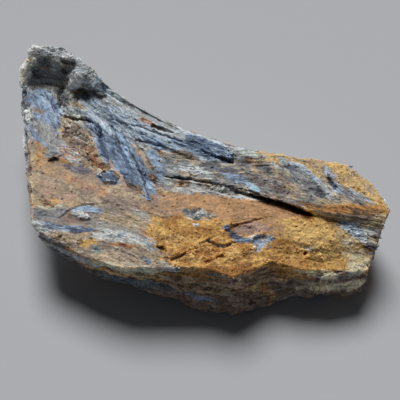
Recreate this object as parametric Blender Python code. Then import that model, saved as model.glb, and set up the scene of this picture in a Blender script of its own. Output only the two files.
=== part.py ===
"""Raw pietersite: one broken slab of banded, fibrous stone, lying on a flat cleavage face.

The slab is skinned over its ridge lines, which run from the left flank to the split right end.
Each line is a list of (x, y, z) in drawn millimetres, in the order of x, and the list of lines
goes once round the stone: up the front wall, over the top and down the back. The bed is cut flat,
the main crack and the hollow under the crust are cut out with tapered blades, and the whole is
then brought to its driving dimensions, with the origin under its middle.
"""

import bmesh
import bpy
from mathutils import Matrix, Vector, noise

MM = 0.001
NODE_NAME = "pietersite"

# Driving dimensions: the box of the whole stone, in metres.
LENGTH = 0.128
WIDTH = 0.092
HEIGHT = 0.037

STATIONS = 60  # cross-sections along the stone
ROW_PITCH = 3.4 * MM  # spacing of the rows between two ridge lines
SPACING_SAMPLES = 9  # places along two ridge lines where their distance is taken
BED_LEVEL = 0.0  # the stone rests on this plane
CAP_RINGS = (0.85, 0.7, 0.5, 0.25)  # sizes of the rings that close an end, as shares of its edge

COARSE_GRAIN = 9.0 * MM  # wavelength and depth of the uneven fracture
COARSE_DEPTH = 0.75 * MM
FINE_GRAIN = 3.6 * MM
FINE_DEPTH = 0.32 * MM

RIDGE_LINES = {
    "bed_front": [
        (-54, 8, 5), (-46, 4, 1), (-36, -6, -1.5), (-24, -16, -1.5), (-10, -26, -1.5),
        (3, -33, -1.5), (14, -34, -1.5), (24, -30, -1.5), (40, -27, -1), (51, -25, 1),
    ],
    "front_waist": [
        (-56, -15, 20), (-50, -22, 18), (-42, -25.5, 14), (-35, -29.5, 11), (-23.5, -31, 9),
        (-12, -33.5, 6), (-1.5, -37.5, 4), (13.5, -39, 3), (21, -36, 4), (30.5, -33.5, 5),
        (44, -33, 5), (54.5, -31.5, 5),
    ],
    "front_rim": [
        (-56, -16.5, 24), (-49, -21.5, 24), (-39, -27.5, 24), (-25.5, -32, 24), (-13, -32.5, 25),
        (0, -32.5, 25), (11, -35, 24), (17.5, -31.8, 22.5), (23.5, -28.5, 21.5), (33, -31, 20.5),
        (46.5, -30.7, 18.5), (55, -28.7, 17.5),
    ],
    "apron": [
        (-57, -5, 25), (-47, -7, 25), (-33, -11.5, 25), (-16.5, -14, 25), (0, -16.5, 25),
        (16.5, -18.3, 23.5), (33.5, -21.6, 21.5), (47, -23.5, 20), (57, -24.5, 18.5),
    ],
    "crack_foot": [
        (-58, 7.5, 25), (-44.5, 6, 25), (-34, 3, 24), (-24, 0.5, 24), (-13.5, 1, 24),
        (0, -2, 25), (13.5, -5.5, 25), (21, -7.8, 24.5), (30, -11.6, 23.7), (37, -14.1, 23.4),
        (47.5, -17.4, 21.7), (58, -21.5, 19.5),
    ],
    "crack_lip": [
        (-58.5, 9.5, 25), (-45, 8.5, 25), (-34.5, 6, 24), (-24, 3.5, 24), (-13.5, 2.5, 25),
        (0, -1, 26), (13.5, -5, 27), (20.5, -7, 28), (29.5, -11, 28), (36, -13, 28),
        (49, -15, 28), (60.5, -16.5, 27),
    ],
    "fan": [
        (-62.5, 26, 24.5), (-59, 26, 24), (-50, 28.5, 24), (-41, 28, 23), (-32, 23, 23), (-21, 16.5, 24),
        (-12, 9.5, 25), (0, 4.5, 26), (13.5, 0, 27), (30, -7, 28), (43, -11, 28), (61, -16, 28),
    ],
    "crust_foot": [
        (-64.5, 41, 28), (-61, 42, 24), (-57, 43, 24), (-51.5, 42.5, 24), (-44.5, 39.5, 24), (-38, 35.5, 25),
        (-31.5, 35, 26), (-17.5, 24, 26), (-3.5, 16, 26), (8.5, 10.5, 26), (23.5, 3, 27),
        (37, -1.5, 28), (48, -7, 28), (61, -15, 28),
    ],
    "crust_edge": [
        (-64, 45.5, 31), (-60, 47.5, 33), (-56, 48, 34), (-50, 45, 34), (-44, 41, 33), (-39, 38, 31),
        (-33, 35.5, 29), (-17.5, 25.5, 29), (-3.5, 16.5, 28), (10.5, 11, 28), (24, 6.5, 28),
        (37.5, 4, 28), (48.5, -1, 28), (56.5, -7, 28), (62, -13.5, 27),
    ],
    "back_rim": [
        (-62.5, 49, 33), (-60.5, 51, 35), (-55.5, 51, 37), (-50, 50, 37), (-44, 46, 36),
        (-37.5, 40, 34), (-31, 36, 30), (-17.5, 27, 29), (-3.5, 18.5, 28), (8.5, 13.5, 28),
        (24, 10, 28), (37.5, 7.5, 28), (49, 5, 28), (56.5, 0, 27), (63.5, -11.5, 25),
    ],
    "back_ledge": [
        (-61.5, 51, 27), (-52, 53, 28), (-44, 48, 27), (-37, 42, 26), (-30, 36, 24),
        (-18, 30, 21), (-5, 25, 20), (8, 18, 22), (22, 13, 22), (36, 11.5, 20), (48, 9.5, 19),
        (57, 3, 19), (63, -10, 20),
    ],
    "back_step": [
        (-60.5, 50, 20), (-50, 50.5, 18), (-41, 44, 17), (-30, 34, 16), (-18, 26.5, 16),
        (-5, 21.5, 15), (8, 17.5, 14), (22, 15, 14), (36, 11, 13), (48, 8, 13), (56, 3, 13),
        (62, -9, 14),
    ],
    "back_foot": [
        (-58, 47, 9), (-48, 49, 6), (-37, 43, 5), (-27, 36, 6), (-16, 31, 5), (-4, 23, 4),
        (9, 16.5, 4), (24, 13, 4), (38, 11, 3), (49, 6, 3), (57, -2, 4), (60, -9, 6),
    ],
    "bed_back": [
        (-56, 42, 3), (-46, 42, 0), (-34, 36, -1.5), (-20, 27, -1.5), (-5, 19, -1.5),
        (10, 13, -1.5), (25, 9, -1.5), (40, 5, -1.5), (50, 0, -1), (57, -9, 1),
    ],
}

# The point where each broken end stands out furthest, in drawn millimetres.
LEFT_HEART = (-65, 35, 19)
RIGHT_HEART = (60, -17, 14)

# Blades: the line each one enters along, its width there, and the way it goes in.
MAIN_CRACK = {
    "path": [(-12, 2, 25.5), (0, -1.5, 25.5), (13.5, -5.2, 26), (21, -7.5, 26), (30, -11, 26),
             (37, -13.5, 24), (43, -16, 23)],
    "widths": [0.5, 0.9, 1.3, 2.2, 3.4, 3.4, 1.2],
    "inward": (0.0, 0.62, -0.78),
    "depth": 11.0,
}
CRUST_HOLLOW = {
    "path": [(-46, 39, 26.5), (-42, 37.5, 27), (-38, 36, 27), (-34, 35, 28)],
    "widths": [1.0, 3.0, 3.4, 1.0],
    "inward": (-0.5, 0.85, -0.2),
    "depth": 4.0,
}
BLADE_TIP_SHARE = 0.25  # a blade's thickness at its tip, as a share of its width at the mouth
BLADE_LEAD = 4.0  # how far a blade starts outside the surface, in millimetres


def clear_scene():
    for obj in list(bpy.data.objects):
        bpy.data.objects.remove(obj)


def in_metres(point):
    return Vector(point) * MM


def point_on_line(line, share):
    """The point at a share of the line's extent in x, from 0 at its left end to 1."""
    x = line[0].x + share * (line[-1].x - line[0].x)
    for a, b in zip(line, line[1:]):
        if x <= b.x:
            return a.lerp(b, (x - a.x) / (b.x - a.x))
    return line[-1].copy()


def pairs_round(items):
    """Each item with the one after it, the last with the first."""
    return list(zip(items, items[1:] + items[:1]))


def rows_between(lines):
    """How many rows of faces lie between each ridge line and the next, where they are furthest apart."""
    counts = []
    for line, following in pairs_round(lines):
        shares = [i / (SPACING_SAMPLES - 1) for i in range(SPACING_SAMPLES)]
        widest = max((point_on_line(line, s) - point_on_line(following, s)).length for s in shares)
        counts.append(max(1, round(widest / ROW_PITCH)))
    return counts


def cross_section(lines, counts, share):
    """One closed ring of points round the stone."""
    corners = [point_on_line(line, share) for line in lines]
    return [
        corner.lerp(following, row / rows)
        for (corner, following), rows in zip(pairs_round(corners), counts)
        for row in range(rows)
    ]


def bridge(bm, ring, following):
    for (a, b), (c, d) in zip(pairs_round(ring), pairs_round(following)):
        bm.faces.new((a, b, d, c))


def close_end(bm, ring, heart):
    """Fills a broken end with rings that shrink to its heart, where it stands out furthest."""
    edge = [v.co.copy() for v in ring]
    for share in CAP_RINGS:
        inner = [bm.verts.new(heart.lerp(co, share)) for co in edge]
        bridge(bm, ring, inner)
        ring = inner
    tip = bm.verts.new(heart)
    for a, b in pairs_round(ring):
        bm.faces.new((a, b, tip))


def skin_lines(bm):
    """Lofts cross-sections over the ridge lines, end to end."""
    lines = [[in_metres(point) for point in line] for line in RIDGE_LINES.values()]
    counts = rows_between(lines)
    rings = []
    for i in range(STATIONS + 1):
        ring = cross_section(lines, counts, i / STATIONS)
        rings.append([bm.verts.new(co) for co in ring])
    for ring, following in zip(rings, rings[1:]):
        bridge(bm, ring, following)
    close_end(bm, rings[0], in_metres(LEFT_HEART))
    close_end(bm, rings[-1], in_metres(RIGHT_HEART))
    bmesh.ops.recalc_face_normals(bm, faces=bm.faces)


def roughen(bm):
    """Moves the skin in and out as an uneven fracture would leave it."""
    bm.normal_update()
    moves = []
    for v in bm.verts:
        coarse = noise.noise(v.co / COARSE_GRAIN) * COARSE_DEPTH
        fine = noise.noise(v.co / FINE_GRAIN) * FINE_DEPTH
        moves.append(v.normal * (coarse + fine))
    for v, move in zip(bm.verts, moves):
        v.co += move


def cut_bed(bm):
    """Cuts the underside off flat, as the cleavage that the stone rests on."""
    everything = bm.verts[:] + bm.edges[:] + bm.faces[:]
    bmesh.ops.bisect_plane(
        bm, geom=everything, plane_co=(0, 0, BED_LEVEL), plane_no=(0, 0, 1), clear_inner=True
    )
    rim = [e for e in bm.edges if e.is_boundary]
    bmesh.ops.holes_fill(bm, edges=rim)
    bmesh.ops.recalc_face_normals(bm, faces=bm.faces)


def blade_mesh(name, path, widths, inward, depth):
    """A tapered blade that follows a path: four-cornered sections, wide at the mouth."""
    bm = bmesh.new()
    points = [in_metres(point) for point in path]
    inward = Vector(inward).normalized()
    sections = []
    for i, (point, width) in enumerate(zip(points, widths)):
        along = points[min(i + 1, len(points) - 1)] - points[max(i - 1, 0)]
        across = inward.cross(along).normalized() * (width * MM / 2)
        mouth = point - inward * BLADE_LEAD * MM
        tip = point + inward * depth * MM
        corners = (
            mouth - across,
            mouth + across,
            tip + across * BLADE_TIP_SHARE,
            tip - across * BLADE_TIP_SHARE,
        )
        sections.append([bm.verts.new(co) for co in corners])
    for section, following in zip(sections, sections[1:]):
        bridge(bm, section, following)
    bm.faces.new(sections[0])
    bm.faces.new(sections[-1])
    bmesh.ops.recalc_face_normals(bm, faces=bm.faces)
    mesh = bpy.data.meshes.new(name)
    bm.to_mesh(mesh)
    bm.free()
    return mesh


def add_object(name, mesh):
    obj = bpy.data.objects.new(name, mesh)
    bpy.context.scene.collection.objects.link(obj)
    return obj


def cut_with_blade(stone, name, blade):
    """Takes a blade out of the stone, and keeps the blade as a hidden helper."""
    cutter = add_object(name, blade_mesh(name, **blade))
    cutter.hide_render = True
    cutter.display_type = "WIRE"
    cut = stone.modifiers.new(name, "BOOLEAN")
    cut.operation = "DIFFERENCE"
    cut.solver = "EXACT"
    cut.object = cutter
    return cutter


def bring_to_size(objects, stone):
    """Scales to the driving dimensions, with the origin under the middle of the box, on the bed."""
    points = [v.co for v in stone.data.vertices]
    low = Vector(min(point[axis] for point in points) for axis in range(3))
    high = Vector(max(point[axis] for point in points) for axis in range(3))
    drawn = high - low
    scale = Matrix.Diagonal((LENGTH / drawn.x, WIDTH / drawn.y, HEIGHT / drawn.z, 1))
    middle = Vector(((low.x + high.x) / 2, (low.y + high.y) / 2, low.z))
    for obj in objects:
        obj.data.transform(scale @ Matrix.Translation(-middle))


def stone_material():
    """Weathered ochre rind over blue-grey fibre, dull all over."""
    material = bpy.data.materials.new("weathered_stone")
    material.use_nodes = True
    shader = material.node_tree.nodes["Principled BSDF"]
    shader.inputs["Base Color"].default_value = (0.25, 0.18, 0.11, 1)
    shader.inputs["Roughness"].default_value = 0.85
    shader.inputs["Metallic"].default_value = 0.0
    return material


def build_stone():
    bm = bmesh.new()
    skin_lines(bm)
    roughen(bm)
    cut_bed(bm)
    mesh = bpy.data.meshes.new(NODE_NAME)
    bm.to_mesh(mesh)
    bm.free()
    mesh.materials.append(stone_material())
    return add_object(NODE_NAME, mesh)


def main():
    clear_scene()
    stone = build_stone()
    crack = cut_with_blade(stone, "main_crack", MAIN_CRACK)
    hollow = cut_with_blade(stone, "crust_hollow", CRUST_HOLLOW)
    bring_to_size([stone, crack, hollow], stone)


main()
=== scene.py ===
import math

import bmesh
import bpy
import numpy as np
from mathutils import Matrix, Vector
from mathutils.bvhtree import BVHTree


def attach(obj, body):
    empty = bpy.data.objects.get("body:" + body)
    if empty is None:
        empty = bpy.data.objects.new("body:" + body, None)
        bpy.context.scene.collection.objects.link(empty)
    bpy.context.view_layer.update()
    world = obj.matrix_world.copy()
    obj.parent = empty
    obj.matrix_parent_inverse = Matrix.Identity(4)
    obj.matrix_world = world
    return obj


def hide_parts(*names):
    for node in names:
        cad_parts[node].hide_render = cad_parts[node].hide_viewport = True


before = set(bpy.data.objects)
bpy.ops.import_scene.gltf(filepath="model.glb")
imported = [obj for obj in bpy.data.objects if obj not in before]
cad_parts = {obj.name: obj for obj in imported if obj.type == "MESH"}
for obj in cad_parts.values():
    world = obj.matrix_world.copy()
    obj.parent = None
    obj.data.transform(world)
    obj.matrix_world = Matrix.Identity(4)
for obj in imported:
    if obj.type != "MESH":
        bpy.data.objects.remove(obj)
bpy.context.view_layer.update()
stoneNode = "pietersite"
stoneBody = "root"
mm = 0.001  # metres
perMetre = 1000.0  # mm
tiny = 1e-9  # keeps a division safe
farAway = 1e9
noiseMiddle = 0.5
scene = bpy.context.scene
scene.view_settings.view_transform = "Standard"

cameraSettings = {
    "place": (0.00079, -0.16610, 0.26813),  # metres
    "tilt": 32.0,  # degrees away from straight down
    "lens": 77.14,
    "sensor": 36.0,
    "clip": 10.0,
    "frame": 400,  # points across and down the camera's square frame
}
lightSettings = {
    "key": (-2.4, 16.0, 24.0),  # towards the soft box
    "keyPower": 2.52,
    "keyAngle": 27.0,
    "keyColour": (1.0, 0.985, 0.96),
    "fill": 0.038,
    "fillColour": (0.86, 0.92, 1.0),
}
floorSettings = {
    "side": 3.0,
    "colour": (200, 203, 209),
    "roughness": 0.9,
    "specular": 0.1,
}
cardGain = 0.68  # what a level white card reads in this light


# Turns a colour as a screen shows it, on the usual screen curve, into how much light it gives back.
def linear(colour, gain=1.0):
    values = np.asarray(colour, float) / 255.0
    values = np.where(values <= 0.04045, values / 12.92, ((values + 0.055) / 1.055) ** 2.4)
    return values / gain


def newObject(name, data):
    thing = bpy.data.objects.new(name, data)
    scene.collection.objects.link(thing)
    return thing


def buildCamera():
    data = bpy.data.cameras.new("benchCamera")
    data.lens = cameraSettings["lens"]
    data.sensor_width = cameraSettings["sensor"]
    data.clip_end = cameraSettings["clip"]
    camera = newObject("benchCamera", data)
    camera.location = cameraSettings["place"]
    camera.rotation_euler = (math.radians(cameraSettings["tilt"]), 0.0, 0.0)
    scene.camera = camera


def buildLight():
    data = bpy.data.lights.new("softBox", "SUN")
    data.energy = lightSettings["keyPower"]
    data.angle = math.radians(lightSettings["keyAngle"])
    data.color = lightSettings["keyColour"]
    light = newObject("softBox", data)
    light.rotation_euler = Vector(lightSettings["key"]).to_track_quat("Z", "Y").to_euler()
    world = bpy.data.worlds.new("roomFill")
    world.use_nodes = True
    background = world.node_tree.nodes["Background"]
    background.inputs["Color"].default_value = (*lightSettings["fillColour"], 1.0)
    background.inputs["Strength"].default_value = lightSettings["fill"]
    scene.world = world


def buildFloor():
    half = floorSettings["side"] / 2
    corners = [(-half, -half, 0), (half, -half, 0), (half, half, 0), (-half, half, 0)]
    mesh = bpy.data.meshes.new("benchCloth")
    mesh.from_pydata(corners, [], [(0, 1, 2, 3)])
    floor = newObject("benchCloth", mesh)
    cloth = bpy.data.materials.new("paleCloth")
    cloth.use_nodes = True
    shader = cloth.node_tree.nodes["Principled BSDF"]
    shader.inputs["Base Color"].default_value = (*linear(floorSettings["colour"]), 1.0)
    shader.inputs["Roughness"].default_value = floorSettings["roughness"]
    shader.inputs["Specular IOR Level"].default_value = floorSettings["specular"]
    mesh.materials.append(cloth)


# Features are placed through the camera: a ray through a point of its frame meets the stone.
# A ray that passes just beside the stone takes the nearest point, searched for in steps.
raySearch = {
    "near": 0.24,  # metres
    "far": 0.36,
    "steps": 61,
}


def cameraRay(across, down):
    half = cameraSettings["frame"] / 2
    focal = cameraSettings["lens"] / cameraSettings["sensor"] * cameraSettings["frame"]
    tilt = math.radians(cameraSettings["tilt"])
    ahead = Vector((0.0, math.sin(tilt), -math.cos(tilt)))
    up = Vector((0.0, math.cos(tilt), math.sin(tilt)))
    ray = ahead + Vector((1.0, 0.0, 0.0)) * ((across - half) / focal) + up * ((half - down) / focal)
    return Vector(cameraSettings["place"]), ray.normalized()


def surfaceOf(mesh):
    corners = [vertex.co.copy() for vertex in mesh.vertices]
    return BVHTree.FromPolygons(corners, [tuple(face.vertices) for face in mesh.polygons])


def placeOn(surface, across, down):
    start, ray = cameraRay(across, down)
    hit = surface.ray_cast(start, ray)[0]
    if hit is not None:
        return np.array(hit) / mm
    reaches = np.linspace(raySearch["near"], raySearch["far"], raySearch["steps"])
    tries = [surface.find_nearest(start + ray * reach) for reach in reaches]
    return np.array(min(tries, key=lambda found: found[3])[0]) / mm


# Marked points (across, down, width) laid on the stone: their places and their widths.
def laidOut(surface, marked):
    path = np.array([placeOn(surface, across, down) for across, down, _ in marked])
    return path, [width for *_, width in marked]


def applyModifiers(thing):
    bpy.context.view_layer.update()
    graph = bpy.context.evaluated_depsgraph_get()
    thing.data = bpy.data.meshes.new_from_object(thing.evaluated_get(graph), depsgraph=graph)
    thing.modifiers.clear()


def pointsOf(mesh):
    values = np.empty(len(mesh.vertices) * 3, np.float32)
    mesh.vertices.foreach_get("co", values)
    return values.reshape(-1, 3) / mm


def normalsOf(mesh):
    values = np.empty(len(mesh.vertices) * 3, np.float32)
    mesh.vertex_normals.foreach_get("vector", values)
    return values.reshape(-1, 3)


def movePoints(mesh, points):
    mesh.vertices.foreach_set("co", (points * mm).astype(np.float32).ravel())
    mesh.update()


def setAttribute(mesh, name, values, kind="FLOAT"):
    if name in mesh.attributes:
        mesh.attributes.remove(mesh.attributes[name])
    attribute = mesh.attributes.new(name, kind, "POINT")
    field = {"FLOAT": "value", "FLOAT_VECTOR": "vector", "FLOAT_COLOR": "color"}[kind]
    attribute.data.foreach_set(field, np.asarray(values, np.float32).ravel())


def attributeOf(mesh, name):
    values = np.empty(len(mesh.vertices), np.float32)
    mesh.attributes[name].data.foreach_get("value", values)
    return values


def eased(part):
    return part * part * (3.0 - 2.0 * part)


def smoothstep(low, high, values):
    return eased(np.clip((values - low) / (high - low), 0.0, 1.0))


# Smooth noise from a hash of the grid cell, so that it is the same on each run.
hashSteps = (73856093, 19349663, 83492791)
hashTurns = (1274126177, 668265263)
hashMask = 0x7FFFFFFF
seedStep = 7.31
layerStep = 3.7


def softNoise(points, pitch, seed, layers=3):
    total, weight, share = 0.0, 0.0, 1.0
    for layer in range(layers):
        scaled = points / (pitch * 0.5**layer) + (seed * seedStep + layer * layerStep)
        cell = np.floor(scaled).astype(np.int64)
        part = eased(scaled - cell)
        value = 0.0
        for corner in range(8):
            step = np.array((corner & 1, corner >> 1 & 1, corner >> 2 & 1))
            key = (cell + step) @ np.array(hashSteps)
            key = (key ^ (key >> 13)) * hashTurns[0] & hashMask
            key = (key ^ (key >> 11)) * hashTurns[1] & hashMask
            pull = np.where(step == 1, part, 1.0 - part).prod(axis=1)
            value = value + pull * ((key >> 8) / float(hashMask >> 8))
        total = total + share * value
        weight += share
        share *= 0.5
    return total / weight


def shakeOf(points, pitch, seed, layers):
    return np.stack([softNoise(points, pitch, seed + axis, layers) - noiseMiddle for axis in range(3)], axis=1)


# How far each point lies outside a tube along the path, with a radius for each of its corners.
def reachOf(points, path, radii):
    nearest = np.full(len(points), farAway)
    if len(path) == 1:
        return np.linalg.norm(points - path[0], axis=1) - radii[0]
    for a, b, near, far in zip(path[:-1], path[1:], radii[:-1], radii[1:]):
        span = b - a
        share = np.clip(((points - a) @ span) / max(float(span @ span), tiny), 0.0, 1.0)
        away = points - a - share[:, None] * span
        nearest = np.minimum(nearest, np.sqrt((away * away).sum(axis=1)) - (near + (far - near) * share))
    return nearest


skinSettings = {
    "voxel": 0.40,  # mm
    "merge": 1e-6,  # metres
    "smoothing": 4,
    "smoothShare": 0.5,
    "triangles": 196000,
    "hidden": (0.15, -0.35),  # how a face points where thinning starts and is full
    "backward": 0.45,  # how much pointing to the back counts towards it
    "levels": 10,
}


# The CAD solid cut fine and even, then thinned where it faces down or back.
def skinOf(node):
    shape = bmesh.new()
    shape.from_mesh(node.data)
    bmesh.ops.remove_doubles(shape, verts=shape.verts, dist=skinSettings["merge"])
    mesh = bpy.data.meshes.new("stoneSkin")
    shape.to_mesh(mesh)
    shape.free()
    mesh.materials.clear()
    stone = newObject("stoneSkin", mesh)
    remesh = stone.modifiers.new("remesh", "REMESH")
    remesh.mode = "VOXEL"
    remesh.voxel_size = skinSettings["voxel"] * mm
    smooth = stone.modifiers.new("smooth", "SMOOTH")
    smooth.factor = skinSettings["smoothShare"]
    smooth.iterations = skinSettings["smoothing"]
    applyModifiers(stone)
    normals = normalsOf(stone.data)
    group = stone.vertex_groups.new(name="coarse")
    hidden = smoothstep(*skinSettings["hidden"], normals[:, 2] - skinSettings["backward"] * normals[:, 1])
    for level in range(1, skinSettings["levels"] + 1):
        found = np.flatnonzero(np.round(hidden * skinSettings["levels"]) == level)
        group.add(found.tolist(), level / skinSettings["levels"], "REPLACE")
    thin = stone.modifiers.new("thin", "DECIMATE")
    thin.vertex_group = "coarse"
    thin.vertex_group_factor = 1.0
    thin.ratio = skinSettings["triangles"] / (2.0 * len(stone.data.polygons))
    thin.use_collapse_triangulate = True
    applyModifiers(stone)
    return stone


# The grain of the stone: strokes along which its fibres run, all drawn the same way round.
flowSettings = {
    "cell": 0.5,  # mm
    "margin": 3.0,  # mm of map beyond the stone
    "spread": 3.2,
    "rest": 1e-3,  # pull where no stroke is near
    "faint": 0.02,  # how much of a stroke's pull reaches far
    "layerRise": 0.9,  # how fast the bands climb a wall
}
flowStrokes = (
    ((28, 50), (45, 46), (60, 50), (78, 60), (95, 74), (112, 92)),
    ((36, 60), (50, 62), (62, 66), (74, 72)),
    ((84, 68), (74, 80), (62, 94), (56, 106)),
    ((24, 60), (22, 80), (24, 105), (28, 130), (31, 160)),
    ((34, 90), (42, 100), (46, 118), (44, 140)),
    ((52, 90), (56, 104), (60, 120), (66, 132)),
    ((60, 112), (76, 116), (92, 122), (98, 130)),
    ((88, 97), (98, 118), (106, 140), (122, 168), (146, 200)),
    ((96, 96), (112, 120), (128, 145), (142, 172), (152, 202)),
    ((102, 97), (124, 118), (145, 136), (170, 152)),
    ((106, 94), (130, 112), (160, 128), (190, 142), (225, 154)),
    ((112, 92), (150, 116), (190, 137), (240, 152), (270, 155)),
    ((160, 160), (185, 164), (215, 172), (250, 184), (290, 198)),
    ((164, 176), (205, 184), (255, 195), (305, 210), (345, 216), (388, 218)),
    ((286, 160), (300, 178), (322, 198)),
    ((318, 166), (334, 184), (352, 200)),
    ((345, 172), (362, 188), (380, 206)),
    ((270, 154), (310, 158), (345, 168), (372, 188)),
    ((66, 126), (82, 140), (98, 158), (112, 172)),
    ((36, 152), (60, 160), (90, 172), (118, 190)),
    ((34, 180), (60, 188), (90, 196), (120, 204)),
    ((34, 214), (58, 212), (74, 204), (100, 201), (124, 208), (150, 214)),
    ((60, 222), (80, 218), (104, 214), (130, 218), (152, 226)),
    ((36, 226), (56, 226), (74, 230), (92, 231)),
    ((44, 240), (62, 240), (80, 238), (108, 232), (134, 236), (150, 246)),
    ((60, 250), (84, 252), (112, 246), (140, 250), (160, 262)),
    ((160, 205), (185, 200), (215, 203), (250, 212), (290, 220), (330, 228)),
    ((150, 266), (170, 256), (200, 244), (228, 236), (258, 222)),
    ((180, 268), (205, 258), (235, 250), (262, 246), (290, 240)),
    ((262, 262), (290, 254), (318, 252), (345, 262)),
    ((300, 232), (325, 238), (350, 248), (366, 262)),
    ((335, 220), (352, 230), (372, 240)),
    ((60, 256), (90, 276), (130, 286), (165, 296)),
    ((165, 280), (200, 300), (240, 312), (262, 300), (300, 290), (355, 288)),
)
# Round features that the fibres part around: across, down, reach and lift in mm.
eyes = {
    "blueEye": (110, 177, 3.4, 2.6),
    "paleLens": (80, 215, 3.0, 2.0),
    "greyPit": (198, 214, 3.6, 2.2),
    "violetLens": (80, 170, 3.2, 1.6),
    "darkLens": (308, 186, 4.0, 1.8),
}


def resampled(path, step=1.0):
    pieces = [path[:1]]
    for a, b in zip(path[:-1], path[1:]):
        count = max(1, int(np.linalg.norm(b - a) / step))
        pieces.append(a + (b - a) * np.linspace(0, 1, count + 1)[1:, None])
    return np.concatenate(pieces)


# The field whose slope comes nearest to the given one, by mirroring it and solving on its waves.
def fieldWithGradient(gx, gy, cell):
    rows, columns = gx.shape
    slope = np.zeros((rows, columns))
    slope[:, :-1] += (gx[:, :-1] + gx[:, 1:]) / 2
    slope[:, 1:] -= (gx[:, :-1] + gx[:, 1:]) / 2
    slope[:-1] += (gy[:-1] + gy[1:]) / 2
    slope[1:] -= (gy[:-1] + gy[1:]) / 2
    whole = np.block([[slope, slope[:, ::-1]], [slope[::-1], slope[::-1, ::-1]]])
    turns = 2 - 2 * np.cos(np.pi * np.arange(2 * rows) / rows)[:, None]
    turns = turns + (2 - 2 * np.cos(np.pi * np.arange(2 * columns) / columns))[None]
    turns[0, 0] = 1.0
    answer = np.fft.fft2(whole) / -turns
    answer[0, 0] = 0.0
    return np.real(np.fft.ifft2(answer))[:rows, :columns] * cell


class FlowMap:
    def __init__(self, surface, corner, size):
        self.cell, self.corner = flowSettings["cell"], np.asarray(corner, float)
        shape = np.ceil(np.asarray(size) / self.cell).astype(int) + 1
        xs = self.corner[0] + np.arange(shape[0]) * self.cell
        ys = self.corner[1] + np.arange(shape[1]) * self.cell
        gridX, gridY = np.meshgrid(xs, ys)
        pullX, pullY = np.full(gridX.shape, flowSettings["rest"]), np.zeros(gridX.shape)
        for stroke in flowStrokes:
            path = resampled(np.array([placeOn(surface, *point)[:2] for point in stroke]))
            heading = np.gradient(path, axis=0)
            heading /= np.linalg.norm(heading, axis=1)[:, None] + tiny
            for (x, y), (dx, dy) in zip(path, heading):
                away = ((gridX - x) ** 2 + (gridY - y) ** 2) / flowSettings["spread"] ** 2
                pull = np.exp(-0.5 * away) + flowSettings["faint"] / (1 + away) ** 2
                pullX += pull * dx
                pullY += pull * dy
        length = np.hypot(pullX, pullY) + tiny
        self.headX, self.headY = pullX / length, pullY / length
        self.across = fieldWithGradient(-self.headY, self.headX, self.cell)
        self.along = fieldWithGradient(self.headX, self.headY, self.cell)
        for across, down, reach, lift in eyes.values():
            x, y, _ = placeOn(surface, across, down)
            self.across += lift * np.exp(-((gridX - x) ** 2 + (gridY - y) ** 2) / reach**2)

    def at(self, grid, points):
        place = (points[:, :2] - self.corner) / self.cell
        place = np.clip(place, 0, np.array(grid.shape[::-1]) - 1.001)  # stays inside the last cell
        low = place.astype(int)
        fx, fy = (place - low).T
        x, y = low.T
        near = grid[y, x] * (1 - fx) + grid[y, x + 1] * fx
        far = grid[y + 1, x] * (1 - fx) + grid[y + 1, x + 1] * fx
        return near * (1 - fy) + far * fy


# Tints as they read on a level face in this light; linear() turns them into the stone's own colour.
tints = {
    "iceBlue": (190, 208, 224), "skyBlue": (160, 182, 206), "steelBlue": (124, 146, 174),
    "slateBlue": (86, 102, 126), "indigo": (60, 74, 112), "midnight": (34, 40, 56), "violet": (132, 128, 146),
    "violetGrey": (144, 140, 144), "plum": (88, 82, 92), "pearl": (208, 214, 216), "frost": (228, 232, 232),
    "ash": (158, 160, 158), "pewter": (112, 116, 120), "sage": (176, 184, 168), "celadon": (188, 200, 190),
    "charcoal": (62, 62, 62), "soot": (34, 33, 34), "cream": (206, 198, 170), "straw": (196, 178, 134),
    "tan": (184, 166, 140), "sand": (170, 150, 124), "taupe": (136, 122, 110), "mink": (98, 86, 78),
    "umber": (78, 64, 50), "rust": (140, 92, 56), "russet": (112, 66, 40), "oxblood": (76, 40, 30),
    "apricot": (196, 152, 110), "pumpkin": (178, 124, 74), "ochre": (190, 146, 84), "honey": (206, 166, 98),
    "amber": (164, 114, 56), "bronze": (128, 90, 48), "salmon": (188, 158, 142), "rose": (160, 134, 124),
    "cyan": (168, 206, 226), "teal": (120, 150, 150), "cocoa": (104, 80, 64), "wheat": (226, 188, 120),
    "chalk": (242, 244, 244), "mist": (216, 228, 240), "ivory": (238, 228, 198), "clay": (172, 136, 100),
}
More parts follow.
